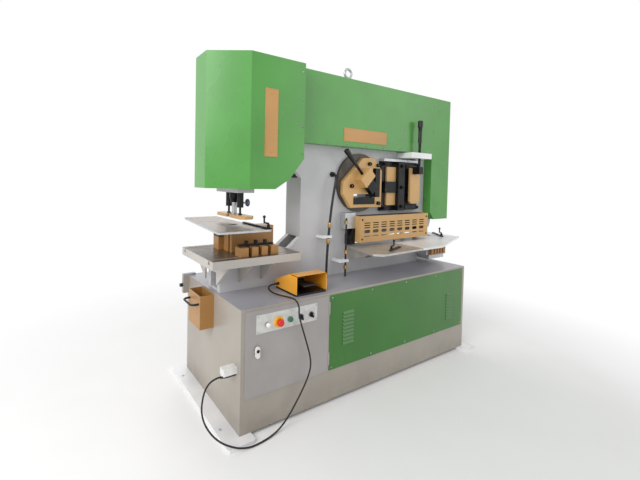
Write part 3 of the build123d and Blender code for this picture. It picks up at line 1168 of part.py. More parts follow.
# Pressure pipe that runs up the frame and turns in beside the angle shear
PIPE_POINTS = (
    (-236, PIPE_Y, CABINET_TOP),
    (-236, PIPE_Y, 800),
    (-232, PIPE_Y, 900),
    (-224, PIPE_Y, 1020),
    (-212, PIPE_Y, 1140),
    (-198, PIPE_Y, 1250),
    (-182, PIPE_Y, 1345),
    (-164, PIPE_Y, 1425),
    (-158, PIPE_Y + 4, 1454),
    (-156, PIPE_Y + 24, 1476),
    (-156, -FRAME_FACE, 1476),
)
bent_tube("pressure_pipe", PIPE_POINTS, PIPE_DIAMETER)

# Sheet covers over the frame head
COVER_OUTLINE = (
    (COVER_LEFT, COVER_BOTTOM),
    (COVER_RIGHT, COVER_BOTTOM),
    (COVER_RIGHT, COVER_TOP),
    (COVER_LEFT, COVER_TOP),
)
EYE_X = 68.0
EYE_SHANK = 26.0
with BuildPart() as upper_cover:
    side_plate(COVER_OUTLINE, -COVER_HALF, 2 * COVER_HALF)
    inner_half = COVER_HALF - COVER_SHEET
    block(COVER_LEFT, COVER_RIGHT, -inner_half, inner_half, COVER_BOTTOM + COVER_SHEET, COVER_TOP - COVER_SHEET,
          Mode.SUBTRACT)
    block(COVER_LEFT, COVER_RIGHT, -FRAME_FACE, FRAME_FACE, COVER_BOTTOM, COVER_TOP - COVER_SHEET, Mode.SUBTRACT)
    upright(EYE_X, 0, COVER_TOP - COVER_SHEET, COVER_TOP, EYE_SHANK + 2, Mode.SUBTRACT)
finish(upper_cover, "upper_cover")

END_OUTLINE = (
    (COVER_RIGHT, END_NOTCH_Z),
    (END_NOTCH_X, END_BOTTOM),
    (END_RIGHT, END_BOTTOM),
    (END_RIGHT, COVER_TOP),
    (COVER_RIGHT, COVER_TOP),
)
with BuildPart() as end_cover:
    side_plate(END_OUTLINE, -COVER_HALF, 2 * COVER_HALF)
    with BuildSketch(Plane.XZ.offset(inner_half)):
        with BuildLine():
            Polyline(*END_OUTLINE, close=True)
        make_face()
        offset(amount=-COVER_SHEET)
    extrude(amount=-2 * inner_half, mode=Mode.SUBTRACT)
    block(END_NOTCH_X, END_RIGHT - COVER_SHEET, -inner_half, inner_half, END_BOTTOM, END_BOTTOM + 2 * COVER_SHEET,
          Mode.SUBTRACT)
    block(COVER_RIGHT, END_RIGHT - COVER_SHEET, -FRAME_FACE, FRAME_FACE, END_BOTTOM, COVER_TOP - COVER_SHEET,
          Mode.SUBTRACT)
    block(COVER_RIGHT, COVER_RIGHT + COVER_SHEET, -inner_half, inner_half, COVER_BOTTOM + COVER_SHEET,
          COVER_TOP - COVER_SHEET, Mode.SUBTRACT)
finish(end_cover, "end_cover")

# Punch hood, with a faceted nose and an underside that rises towards the throat
HOOD_PLAN = (
    (HOOD_NOSE_X, -HOOD_NOSE_HALF),
    (HOOD_CORNER_X, -HOOD_HALF),
    (COVER_LEFT, -HOOD_HALF),
    (COVER_LEFT, HOOD_HALF),
    (HOOD_CORNER_X, HOOD_HALF),
    (HOOD_NOSE_X, HOOD_NOSE_HALF),
)
HOOD_PROFILE = (
    (HOOD_NOSE_X, HOOD_BOTTOM),
    (-750, HOOD_BOTTOM),
    (-642, 1434),
    (COVER_LEFT, 1567),
    (COVER_LEFT, COVER_TOP),
    (HOOD_NOSE_X, COVER_TOP),
)


def hood_form(wall):
    """Add the hood's outer form, drawn in by a wall thickness."""
    with BuildSketch(Plane.XY.offset(HOOD_BOTTOM)) as plan:
        with BuildLine():
            Polyline(*HOOD_PLAN, close=True)
        make_face()
        if wall:
            offset(amount=-wall, kind=Kind.INTERSECTION)
    extrude(plan.sketch, amount=COVER_TOP - HOOD_BOTTOM)
    with BuildSketch(Plane.XZ.offset(HOOD_HALF)) as profile:
        with BuildLine():
            Polyline(*HOOD_PROFILE, close=True)
        make_face()
        if wall:
            offset(amount=-wall, kind=Kind.INTERSECTION)
    extrude(profile.sketch, amount=-2 * HOOD_HALF, mode=Mode.INTERSECT)


with BuildPart() as hood_space:
    hood_form(COVER_SHEET)

with BuildPart() as punch_hood:
    hood_form(0)
    add(hood_space.part, mode=Mode.SUBTRACT)
    block(PUNCH_FRONT, HEAD_LEFT, -PUNCH_BLOCK / 2, PUNCH_BLOCK / 2, HOOD_BOTTOM, HOOD_BOTTOM + COVER_SHEET,
          Mode.SUBTRACT)
    block(HEAD_LEFT, COVER_LEFT, -FRAME_FACE, FRAME_FACE, HOOD_BOTTOM, FRAME_TOP, Mode.SUBTRACT)
    block(COVER_LEFT - COVER_SHEET, COVER_LEFT, -inner_half, inner_half, COVER_BOTTOM + COVER_SHEET,
          COVER_TOP - COVER_SHEET, Mode.SUBTRACT)
finish(punch_hood, "punch_hood")

# Blank plates on the covers, each held by two screws
PLATE_PAD = 2.0
SCREW_INSET = 30.0
PLATES = (
    (-835.0, -742.0, -HOOD_HALF, 1569.0, 1987.0),
    (-115.0, 345.0, -COVER_HALF, 1725.0, 1824.0),
)
with BuildPart() as blank_plates:
    for x0, x1, face_y, z0, z1 in PLATES:
        block(x0, x1, face_y - PLATE_PAD, face_y, z0, z1)
        along_z = z1 - z0 > x1 - x0
        middle_x = (x0 + x1) / 2
        middle_z = (z0 + z1) / 2
        screw_places = (
            ((middle_x, z0 + SCREW_INSET), (middle_x, z1 - SCREW_INSET)) if along_z
            else ((x0 + SCREW_INSET, middle_z), (x1 - SCREW_INSET, middle_z))
        )
        for screw_x, screw_z in screw_places:
            cross_bar(screw_x, screw_z, face_y - 2 * PLATE_PAD, face_y - PLATE_PAD, SCREW_HEAD)
finish(blank_plates, "blank_plates")

# Lifting eye through the cover into the head of the frame
EYE_RING = 90.0
EYE_WIRE = 20.0
EYE_Z = 2288.0
with BuildPart() as lifting_eye:
    upright(EYE_X, 0, FRAME_TOP, COVER_TOP, EYE_SHANK)
    upright(EYE_X, 0, COVER_TOP, COVER_TOP + 18, 2 * EYE_SHANK)
    upright(EYE_X, 0, COVER_TOP + 18, EYE_Z - EYE_RING / 2 + EYE_WIRE / 2, EYE_SHANK)
    with BuildSketch(Plane.XY.offset(EYE_Z)):
        with Locations((EYE_X + EYE_RING / 2 - EYE_WIRE / 2, 0)):
            Circle(EYE_WIRE / 2)
    revolve(axis=Axis((EYE_X, 0, EYE_Z), (0, 1, 0)))
finish(lifting_eye, "lifting_eye")

# Foot switch on the cabinet: base with the treadle's lugs and the strain relief, guard and treadle
PEDAL_BASE = 12.0
PEDAL_SHEET = 5.0
GUARD_REAR = 46.0
GUARD_SLOPE_START = 70.0
pedal_right = PEDAL_LEFT + PEDAL_WIDTH
pedal_back = PEDAL_FRONT + PEDAL_LENGTH
base_top = CABINET_TOP + PEDAL_BASE
pedal_middle = PEDAL_LEFT + PEDAL_WIDTH / 2
TREADLE_WIDTH = 110.0
TREADLE_FRONT = -385.0
TREADLE_HINGE_Y = -215.0
TREADLE_HINGE_Z = base_top + 26.0
TREADLE_THICKNESS = 8.0
TREADLE_PIN = 10.0
LUG_WIDTH = 12.0
LUG_DEPTH = 24.0
LUG_GAP = 0.5
RELIEF_Y = -200.0
RELIEF_Z = base_top + 24.0
RELIEF_LENGTH = 22.0
with BuildPart() as pedal_base:
    block(PEDAL_LEFT, pedal_right, PEDAL_FRONT, pedal_back, CABINET_TOP, base_top)
    fillet(pedal_base.edges().filter_by(Axis.Z), 12)
    for side in (-1, 1):
        lug_x = pedal_middle + side * (TREADLE_WIDTH / 2 + LUG_GAP + LUG_WIDTH / 2)
        block(lug_x - LUG_WIDTH / 2, lug_x + LUG_WIDTH / 2, TREADLE_HINGE_Y - LUG_DEPTH / 2,
              TREADLE_HINGE_Y + LUG_DEPTH / 2, base_top, TREADLE_HINGE_Z + LUG_DEPTH / 2)
    with BuildSketch(Plane.YZ.offset(pedal_middle - TREADLE_WIDTH / 2 - LUG_GAP)):
        with Locations((TREADLE_HINGE_Y, TREADLE_HINGE_Z)):
            Circle(TREADLE_PIN / 2)
    extrude(amount=TREADLE_WIDTH + 2 * LUG_GAP)
    with BuildSketch(Plane.YZ.offset(PEDAL_LEFT)) as relief_root:
        with Locations((RELIEF_Y, RELIEF_Z)):
            Circle(CABLE_DIAMETER)
    with BuildSketch(Plane.YZ.offset(PEDAL_LEFT - RELIEF_LENGTH)) as relief_tip:
        with Locations((RELIEF_Y, RELIEF_Z)):
            Circle(CABLE_DIAMETER * 0.7)
    loft([relief_root.sketch.face(), relief_tip.sketch.face()])
finish(pedal_base, "pedal_base")

with BuildPart() as pedal_guard:
    with BuildSketch(Plane.YZ.offset(PEDAL_LEFT)):
        with BuildLine():
            Polyline((PEDAL_FRONT, base_top), (PEDAL_FRONT, CABINET_TOP + PEDAL_HEIGHT),
                     (PEDAL_FRONT + GUARD_SLOPE_START, CABINET_TOP + PEDAL_HEIGHT),
                     (pedal_back, base_top + GUARD_REAR), (pedal_back, base_top), close=True)
        make_face()
    extrude(amount=PEDAL_WIDTH)
    fillet(pedal_guard.edges().filter_by(Axis.Y).group_by(Axis.Z)[-1], 22)
    with BuildSketch(Plane.YZ.offset(PEDAL_LEFT + PEDAL_SHEET)):
        with BuildLine():
            Polyline((PEDAL_FRONT, base_top), (PEDAL_FRONT, CABINET_TOP + PEDAL_HEIGHT - PEDAL_SHEET),
                     (PEDAL_FRONT + GUARD_SLOPE_START, CABINET_TOP + PEDAL_HEIGHT - PEDAL_SHEET),
                     (pedal_back - PEDAL_SHEET, base_top + GUARD_REAR - PEDAL_SHEET), (pedal_back - PEDAL_SHEET, base_top),
                     close=True)
        make_face()
    extrude(amount=PEDAL_WIDTH - 2 * PEDAL_SHEET, mode=Mode.SUBTRACT)
finish(pedal_guard, "pedal_guard")

with BuildPart() as pedal_treadle:
    with BuildSketch(Plane.YZ.offset(pedal_middle - TREADLE_WIDTH / 2)):
        with BuildLine():
            Polyline((TREADLE_HINGE_Y, TREADLE_HINGE_Z - TREADLE_THICKNESS), (TREADLE_HINGE_Y, TREADLE_HINGE_Z),
                     (TREADLE_FRONT, TREADLE_HINGE_Z + 18), (TREADLE_FRONT, TREADLE_HINGE_Z + 18 - TREADLE_THICKNESS),
                     close=True)
        make_face()
        with Locations((TREADLE_HINGE_Y, TREADLE_HINGE_Z)):
            Circle(TREADLE_PIN)
            Circle(TREADLE_PIN / 2 + FIT_CLEARANCE, mode=Mode.SUBTRACT)
    extrude(amount=TREADLE_WIDTH)
finish(pedal_treadle, "pedal_treadle")

# Socket on the end of the cabinet: a hood over a round plug with the gland of the cable
SOCKET_Y = -373.0
SOCKET_WIDTH = 50.0
SOCKET_TOP = 390.0
SOCKET_HEIGHT = 38.0
SOCKET_REACH = 80.0
PLUG_Z = 345.0
PLUG_DIAMETER = 28.0
PLUG_LENGTH = 56.0
GLAND_LENGTH = 30.0
socket_end = -HALF_LENGTH - SOCKET_REACH
plug_end = -HALF_LENGTH - PLUG_LENGTH
gland_end = plug_end - GLAND_LENGTH
with BuildPart() as socket_housing:
    block(socket_end, -HALF_LENGTH, SOCKET_Y - SOCKET_WIDTH / 2, SOCKET_Y + SOCKET_WIDTH / 2,
          SOCKET_TOP - SOCKET_HEIGHT, SOCKET_TOP)
    fillet(socket_housing.faces().sort_by(Axis.X)[0].edges(), 3)
    with BuildSketch(Plane.YZ.offset(plug_end)):
        with Locations((SOCKET_Y, PLUG_Z)):
            Circle(PLUG_DIAMETER / 2)
    extrude(amount=PLUG_LENGTH)
    with BuildSketch(Plane.YZ.offset(gland_end)):
        with Locations((SOCKET_Y, PLUG_Z)):
            Circle(CABLE_DIAMETER)
    extrude(amount=GLAND_LENGTH)
    with BuildSketch(Plane.YZ.offset(plug_end - GLAND_LENGTH / 2)):
        with Locations((SOCKET_Y, PLUG_Z)):
            RegularPolygon(1.3 * CABLE_DIAMETER, 6)
    extrude(amount=GLAND_LENGTH / 3)
finish(socket_housing, "socket_housing")

# Cable of the foot switch, over the edge, down the front and along the floor to its gland
CABLE_POINTS = (
    (PEDAL_LEFT - RELIEF_LENGTH, RELIEF_Y, RELIEF_Z),
    (-736, RELIEF_Y, RELIEF_Z),
    (-767, -217, 746),
    (-786, -252, 738),
    (-784, -300, 730),
    (-764, -346, 726),
    (-732, -408, 725),
    (-722, -452, 724),
    (-716, -484, 692),
    (-720, -487, 640),
    (-690, -486, 553),
    (-655, -486, 454),
    (-629, -486, 375),
    (-622, -486, 305),
    (-649, -486, 238),
    (-692, -487, 172),
    (-740, -488, 108),
    (-792, -490, 50),
    (-850, -498, 14),
    (-910, -512, 6),
    (-975, -523, 5.5),
    (-1045, -525, 6),
    (-1107, -522, 22),
    (-1152, -519, 47),
    (-1194, -500, 67),
    (-1222, -440, 77),
    (-1250, -400, 121),
    (-1263, -380, 175),
    (-1262, -374, 226),
    (-1245, SOCKET_Y, 303),
    (gland_end - 47, SOCKET_Y, PLUG_Z),
    (gland_end, SOCKET_Y, PLUG_Z),
)
bent_tube("pedal_cable", CABLE_POINTS, CABLE_DIAMETER)

# Scrap bin hung on the end of the cabinet, with its pull ring
bin_left = -HALF_LENGTH - BIN_REACH
bin_back = BIN_FRONT + BIN_WIDTH
RING_WIRE = 14.0
RING_REACH = 46.0
RING_Z = 646.0
RING_INSET = 24.0
with BuildPart() as scrap_bin:
    block(bin_left, -HALF_LENGTH, BIN_FRONT, bin_back, BIN_BOTTOM, BIN_TOP)
    block(bin_left + BIN_SHEET, -HALF_LENGTH - BIN_SHEET, BIN_FRONT + BIN_SHEET, bin_back - BIN_SHEET,
          BIN_BOTTOM + BIN_SHEET, BIN_TOP, Mode.SUBTRACT)
    with BuildLine() as ring_path:
        FilletPolyline((bin_left, BIN_FRONT + RING_INSET, RING_Z), (bin_left - RING_REACH, BIN_FRONT + RING_INSET, RING_Z),
                       (bin_left - RING_REACH, bin_back - RING_INSET, RING_Z), (bin_left, bin_back - RING_INSET, RING_Z),
                       radius=30)
    with BuildSketch(Plane(origin=ring_path.line @ 0, z_dir=ring_path.line % 0)):
        Circle(RING_WIRE / 2)
    sweep()
finish(scrap_bin, "scrap_bin")
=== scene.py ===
"""Dresses the ironworker with finishes, fasteners, fittings, control devices and the foot switch's cable.

All lengths are in metres, in the part's own frame: +X from the punch end to the notching end, -Y towards
the operator, +Z up from the floor.
"""

import logging
import math
from abc import ABC, abstractmethod
from dataclasses import dataclass
from enum import Enum
from itertools import product
from typing import Any, Iterable, Optional, Sequence

import bmesh
import bpy
import numpy as np
from mathutils import Matrix

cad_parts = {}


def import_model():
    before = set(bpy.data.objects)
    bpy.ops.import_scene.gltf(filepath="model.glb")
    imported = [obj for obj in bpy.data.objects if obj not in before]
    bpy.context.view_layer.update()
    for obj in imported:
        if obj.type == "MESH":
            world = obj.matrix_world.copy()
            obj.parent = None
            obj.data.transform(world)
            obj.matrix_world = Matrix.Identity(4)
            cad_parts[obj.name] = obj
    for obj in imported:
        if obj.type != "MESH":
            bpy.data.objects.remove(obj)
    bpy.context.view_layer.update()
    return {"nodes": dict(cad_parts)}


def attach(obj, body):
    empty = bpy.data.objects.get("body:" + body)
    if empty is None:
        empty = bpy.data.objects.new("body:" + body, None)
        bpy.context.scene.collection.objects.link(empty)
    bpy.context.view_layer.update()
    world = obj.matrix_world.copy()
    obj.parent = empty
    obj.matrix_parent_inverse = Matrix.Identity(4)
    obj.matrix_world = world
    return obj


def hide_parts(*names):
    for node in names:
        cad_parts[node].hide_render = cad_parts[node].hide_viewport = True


LOG = logging.getLogger("ironworker")
Point = tuple[float, float, float]
Colour = tuple[float, float, float]
Linear = tuple[float, float, float, float]
Profile = Sequence[tuple[float, float]]
Shape = tuple[np.ndarray, np.ndarray]
Span = tuple[float, float]

FAR = 9.9
OPEN = (-FAR, FAR)
"""Bounds this far out leave a zone open on both sides."""

TIP = 1e-5
"""Radius of a profile's points on its axis. The weld joins them into one."""


class Slot(Enum):
    """Names of material slots that are passed along with a new piece's finish; nothing reads them."""

    STEEL = "steel"
    BLACK = "black"
    OXIDE = "black_oxide"
    WHITE_PLASTIC = "white_plastic"
    BLACK_PLASTIC = "black_plastic"
    CABLE = "cable_rubber"
    COPPER_TAN = "copper_tan"
    GOLD = "gold"


class Axis(Enum):
    """Directions that a turned piece can point in, as the unit vector of its own axis."""

    UP = (0.0, 0.0, 1.0)
    FRONT = (0.0, -1.0, 0.0)
    RIGHT = (1.0, 0.0, 0.0)


def linear(colour: Colour) -> Linear:
    """Turn a display colour into the linear values that the shader reads.

    Each channel c becomes c / 12.92 below 0.04045 and ((c + 0.055) / 1.055) to the power 2.4 above it.

    Args:
        colour: red, green and blue as they are seen, from 0 to 1.

    Returns:
        The linear colour with an alpha of 1.
    """
    channels = np.asarray(colour, dtype=float)
    low = channels / 12.92
    high = ((channels + 0.055) / 1.055) ** 2.4
    red, green, blue = np.where(channels <= 0.04045, low, high)
    return float(red), float(green), float(blue), 1.0


class Value:
    """A number socket of a shader graph; arithmetic on it adds Math nodes."""

    def __init__(self, graph: "Graph", socket: Any) -> None:
        """Keep the graph and the socket."""
        self.graph = graph
        self.socket = socket

    def _with(self, operation: str, first: Any, second: Any, clamp: bool = False) -> "Value":
        """Result of a Math node on two inputs, each a number or a Value."""
        return self.graph.value("ShaderNodeMath", {"operation": operation, "use_clamp": clamp}, {0: first, 1: second})

    def __add__(self, other: Any) -> "Value":
        """Sum with a number or a value."""
        return self._with("ADD", self, other)

    def __radd__(self, other: Any) -> "Value":
        """Sum with a number on the left."""
        return self._with("ADD", other, self)

    def __sub__(self, other: Any) -> "Value":
        """Difference from a number or a value."""
        return self._with("SUBTRACT", self, other)

    def __rsub__(self, other: Any) -> "Value":
        """Difference from a number on the left."""
        return self._with("SUBTRACT", other, self)

    def __mul__(self, other: Any) -> "Value":
        """Product with a number or a value."""
        return self._with("MULTIPLY", self, other)

    def __rmul__(self, other: Any) -> "Value":
        """Product with a number on the left."""
        return self._with("MULTIPLY", other, self)

    def __gt__(self, other: float) -> "Value":
        """1 where the value is above a number, otherwise 0."""
        return self._with("GREATER_THAN", self, other)

    def __lt__(self, other: float) -> "Value":
        """1 where the value is below a number, otherwise 0."""
        return self._with("LESS_THAN", self, other)

    def held(self) -> "Value":
        """The value held between 0 and 1."""
        return self._with("MULTIPLY", self, 1.0, clamp=True)

    def ramp(self, start: float, slope: float) -> "Value":
        """0 up to a start, then rising with a slope until it is 1."""
        return ((self - start) * slope).held()

    def spread(self, gain: float, cut: float) -> "Value":
        """The value times a gain, less a cut, held between 0 and 1."""
        return (self * gain - cut).held()


class Graph:
    """The shader graph of one material or world."""

    def __init__(self, owner: Any) -> None:
        """Start an empty graph.

        Args:
            owner: the material or world.
        """
        self.owner = owner
        owner.use_nodes = True
        self.tree = owner.node_tree
        self.tree.nodes.clear()
        self.coords = self.add("ShaderNodeTexCoord", {}, {}, "Object")
        axes = self.add("ShaderNodeSeparateXYZ", {}, {0: self.coords}).node
        self.x, self.y, self.z = (Value(self, socket) for socket in axes.outputs)

    def add(self, kind: str, settings: dict[str, Any], inputs: dict[Any, Any], output: Any = 0) -> Any:
        """Add a node.

        Args:
            kind: the node's type.
            settings: the node's properties.
            inputs: numbers, colours, sockets or Values for its inputs, by index or name.
            output: the output that is wanted, by index or name.

        Returns:
            The output's socket, or None where the node has no output.
        """
        node = self.tree.nodes.new(kind)
        for key, setting in settings.items():
            setattr(node, key, setting)
        for key, given in inputs.items():
            socket = given.socket if isinstance(given, Value) else given
            if isinstance(socket, bpy.types.NodeSocket):
                self.tree.links.new(socket, node.inputs[key])
            else:
                node.inputs[key].default_value = socket
        return node.outputs[output] if node.outputs else None

    def value(self, kind: str, settings: dict[str, Any], inputs: dict[Any, Any], output: Any = 0) -> Value:
        """Add a node and take one of its outputs as a number, with what add takes."""
        return Value(self, self.add(kind, settings, inputs, output))

    def noise(self, scale: float, detail: float = 3.0, stretch: Optional[Point] = None) -> Value:
        """Noise around 0.5.

        Args:
            scale: spots per metre.
            detail: how many finer layers it has.
            stretch: factor along each axis, for streaks.

        Returns:
            The noise as a value.
        """
        vector = self.coords
        if stretch is not None:
            vector = self.add("ShaderNodeMapping", {}, {"Vector": self.coords, "Scale": stretch})
        return self.value("ShaderNodeTexNoise", {"noise_dimensions": "3D"},
                          {"Vector": vector, "Scale": scale, "Detail": detail})

    def seen(self) -> Value:
        """1 for what the camera sees straight, mirrored or through glass, otherwise 0."""
        kinds = ("Is Camera Ray", "Is Glossy Ray", "Is Transmission Ray")
        path = self.add("ShaderNodeLightPath", {}, {}).node
        camera, glossy, through = (Value(self, path.outputs[kind]) for kind in kinds)
        return (camera + glossy + through).held()

    def blend(self, mask: Any, first: Any, second: Any) -> Any:
        """Mix two colours, from the first where the mask is 0 to the second where it is 1."""
        return self.add("ShaderNodeMix", {"data_type": "RGBA"}, {0: mask, 6: first, 7: second}, 2)

    def box_mask(self, *spans: Span) -> Value:
        """1 inside a box of the part's frame, 0 outside.

        Args:
            spans: the box's bounds along x, y and z, with FAR on an open side.

        Returns:
            The product of the comparisons that bound the box.
        """
        sides = []
        for axis, (low, high) in zip((self.x, self.y, self.z), spans):
            sides += [axis > low] if low > -FAR else []
            sides += [axis < high] if high < FAR else []
        return math.prod(sides[1:], start=sides[0])


@dataclass
class Look:
    """What a finish gives at each point of a surface."""

    colour: Any
    roughness: Any
    metallic: Any
    height: Any


@dataclass(frozen=True)
class Finish(ABC):
    """A finish of the machine, with what all finishes share. Noise scales are in spots per metre."""

    name: str
    colour: Colour
    roughness: float = 0.4
    metallic: float = 0.0
    coat: float = 0.0

    @abstractmethod
    def look(self, graph: Graph) -> Look:
        """Lay the finish out in a graph.

        Args:
            graph: the material's graph.

        Returns:
            Its colour, roughness, metallic and height at each point.
        """

    def shade(self, factor: float, lift: float = 0.0) -> Linear:
        """The finish's colour multiplied by a factor and lifted, as the shader reads it."""
        return linear(tuple(min(1.0, channel * factor + lift) for channel in self.colour))


@dataclass(frozen=True)
class Paint(Finish):
    """Sprayed paint with orange peel, soft clouding, a brownish tint near the floor and fine handling scratches."""

    peel: float = 0.4
    low_tint: float = 0.0
    # Amount of the brownish grey tint near the floor.
    scratches: float = 0.3

    CLOUDS, SPECKS, ORANGE_PEEL, DUST_PATCHES, SCRATCH_PATCHES = 2.6, 420.0, 260.0, 14.0, 4.5
    # Height below which the paint takes a brownish grey tint, and the tint's colour.
    LOW_TINT_TOP = 0.16
    LOW_TINT_COLOUR = (0.46, 0.42, 0.37)
    SCRATCH_COLOUR = (0.80, 0.79, 0.76)
    SCRATCH_LINES = (38.0, 38.0, 260.0)

    def look(self, graph: Graph) -> Look:
        """Cloud the colour, tint it brownish grey near the floor, add bright scratches and ripple the surface.

        The tint lies where both the height under its top and a noise allow it. A scratch is where a stretched noise is
        high and a coarse one lets it show.
        """
        cloud = graph.noise(self.CLOUDS, 5.0)
        speck = graph.noise(self.SPECKS, 2.0)
        colour = graph.blend(cloud.spread(1.6, 0.3), self.shade(0.90), self.shade(1.03, 0.01))
        # A brownish grey, rougher tint in noise patches that grows towards the floor.
        low_tint_patches = graph.noise(self.DUST_PATCHES, 5.0).spread(1.8, 0.4)
        low_tint_mask = ((self.LOW_TINT_TOP - graph.z) * 6.0).held() * low_tint_patches * self.low_tint
        colour = graph.blend(low_tint_mask, colour, linear(self.LOW_TINT_COLOUR))
        line = graph.noise(1.0, 4.0, self.SCRATCH_LINES)
        rare = graph.noise(self.SCRATCH_PATCHES, 3.0)
        scratch = line.ramp(0.655, 40.0) * rare.ramp(0.56, 14.0) * self.scratches
        colour = graph.blend(scratch, colour, linear(self.SCRATCH_COLOUR))
        rough = self.roughness + 0.10 * (cloud - 0.5) + 0.25 * low_tint_mask + 0.2 * scratch
        height = graph.noise(self.ORANGE_PEEL, 2.0) * self.peel + speck * 0.12 - 0.3 * scratch
        return Look(colour, rough, self.metallic, height)


@dataclass(frozen=True)
class Ground(Finish):
    """Ground or milled steel, with long lay lines along one direction and stains of handling oil."""

    lay: Point = (6.0, 420.0, 420.0)
    stain: Colour = (0.36, 0.31, 0.26)
    stained: float = 0.35

    STAINS = 7.0

    def look(self, graph: Graph) -> Look:
        """Streak the metal along its lay and darken it in patches."""
        lines = graph.noise(1.0, 3.0, self.lay)
        oily = graph.noise(self.STAINS, 6.0).ramp(0.50, 5.0) * self.stained
        colour = graph.blend(lines.spread(1.8, 0.4), self.shade(0.84), self.shade(1.08))
        colour = graph.blend(oily, colour, linear(self.stain))
        rough = self.roughness + 0.22 * (lines - 0.5) + 0.18 * oily
        return Look(colour, rough, self.metallic - 0.35 * oily, lines * 0.5)


@dataclass(frozen=True)
class Blacked(Finish):
    """Oxide-blacked steel, with rubbed brighter flecks and an oily bloom."""

    rubbed: float = 0.3

    PATCHES, GRAIN = 24.0, 520.0
    RUBBED_COLOUR = (0.47, 0.46, 0.44)

    def look(self, graph: Graph) -> Look:
        """Mottle the black and rub it bright in small flecks."""
        patch = graph.noise(self.PATCHES, 6.0)
        grain = graph.noise(self.GRAIN, 2.0)
        fleck = patch.ramp(0.60, 12.0) * grain.spread(1.5, 0.2) * self.rubbed
        colour = graph.blend(patch.spread(1.4, 0.2), self.shade(0.8), self.shade(1.25, 0.01))
        colour = graph.blend(fleck, colour, linear(self.RUBBED_COLOUR))
        return Look(colour, self.roughness + 0.25 * (patch - 0.5), self.metallic, grain * 0.35)


@dataclass(frozen=True)
class Moulded(Finish):
    """Moulded plastic or rubber with a fine texture."""

    texture: float = 0.3

    TONES, GRAIN = 30.0, 650.0

    def look(self, graph: Graph) -> Look:
        """Give the moulding its eroded texture and a slight change of tone."""
        grain = graph.noise(self.GRAIN, 3.0)
        tone = graph.noise(self.TONES, 3.0).spread(1.4, 0.2)
        colour = graph.blend(tone, self.shade(0.90), self.shade(1.06, 0.004))
        return Look(colour, self.roughness + 0.15 * (grain - 0.5), self.metallic, grain * self.texture)


GREEN = Paint("fresh_green_paint", (0.31, 0.61, 0.25), roughness=0.28, coat=0.2, peel=0.5, scratches=0.06)
# Green paint of the louvred panel, darkened with painted shade.
PANEL_GREEN_WITH_SHADE = Paint("panel_green_paint_with_shade", (0.20, 0.46, 0.13), roughness=0.30, coat=0.2, low_tint=0.15, scratches=0.15)
FRAME_GREY = Paint("frame_grey_paint", (0.80, 0.80, 0.81), roughness=0.36, peel=0.45, low_tint=0.1, scratches=0.25)
CABINET_GREY = Paint("cabinet_grey_paint", (0.66, 0.63, 0.59), roughness=0.30, peel=0.45, low_tint=0.45)
TABLE_GREY = Paint("table_grey_paint", (0.74, 0.72, 0.69), roughness=0.34, peel=0.45)
DOOR_GREY = Paint("door_grey_paint", (0.66, 0.64, 0.635), roughness=0.32, low_tint=0.2)
WHITE_PAINT = Paint("bracket_white_paint", (0.97, 0.97, 0.98), roughness=0.35, peel=0.35, low_tint=0.08, scratches=0.10)
GOLD = Paint("yellow_gold_paint", (0.84, 0.67, 0.43), roughness=0.36, low_tint=0.1, scratches=0.4)
DEEP_GOLD = Paint("deep_gold_paint", (0.70, 0.51, 0.28), roughness=0.38, low_tint=0.1, scratches=0.5)
ORANGE = Paint("guard_orange_paint", (0.96, 0.67, 0.20), roughness=0.28, coat=0.4, peel=0.35, scratches=0.35)
TOP_GREY = Paint("cabinet_top_grey_paint", (0.66, 0.66, 0.69), roughness=0.30, peel=0.45, scratches=0.12)
COPPER_TAN = Paint("copper_tan_plate", (0.79, 0.60, 0.36), roughness=0.42, peel=0.2)
# Grey steel of the angle shear's ring, darkened with painted shade from the housing in front of it.
RING_GREY_WITH_SHADE = Blacked("ring_grey_with_painted_shade", (0.30, 0.28, 0.26), roughness=0.48, metallic=0.35, rubbed=0.25)
# Black paint of the pressure pipe, pedal and stroke rod; also laid on as painted shade on the flat guard's top flange
# and on the frame behind the guard.
BLACK_PAINT_AND_SHADE = Paint("black_paint", (0.075, 0.075, 0.08), roughness=0.38, scratches=0.15)
OXIDE = Blacked("blacked_steel", (0.10, 0.10, 0.105), roughness=0.42, metallic=0.55)
DARK_OXIDE = Blacked("dark_screw_steel", (0.075, 0.075, 0.08), roughness=0.34, metallic=0.6, rubbed=0.2)
GROUND_STEEL = Ground("ground_steel", (0.66, 0.66, 0.66), roughness=0.34, metallic=0.85)
TABLE_STEEL = Ground("table_steel", (0.52, 0.48, 0.44), roughness=0.30, metallic=0.75, lay=(420.0, 8.0, 420.0),
                     stain=(0.38, 0.27, 0.18), stained=0.55)
SHEAR_STEEL = Ground("shear_table_steel", (0.78, 0.76, 0.74), roughness=0.36, metallic=0.55, lay=(8.0, 300.0, 300.0),
                     stain=(0.48, 0.40, 0.32))
PLATE_FOIL = Moulded("control_plate_foil", (0.83, 0.83, 0.82), roughness=0.34, metallic=0.25, texture=0.1)
TURNED_STEEL = Ground("turned_steel", (0.74, 0.74, 0.75), roughness=0.24, metallic=0.95,
                      lay=(60.0, 60.0, 900.0), stained=0.12)
SILVER = Ground("silver_sheet", (0.78, 0.79, 0.80), roughness=0.38, metallic=0.6, lay=(300.0, 300.0, 8.0),
                stain=(0.62, 0.62, 0.63), stained=0.25)
BRASS = Ground("turned_brass", (0.78, 0.64, 0.40), roughness=0.28, metallic=0.95, lay=(80.0, 80.0, 900.0),
               stain=(0.50, 0.37, 0.18), stained=0.3)
CAST_GREY = Blacked("cast_grey_iron", (0.27, 0.28, 0.29), roughness=0.55, metallic=0.3, rubbed=0.15)
RED_PLASTIC = Moulded("stop_red_plastic", (0.84, 0.15, 0.09), roughness=0.28, texture=0.08)
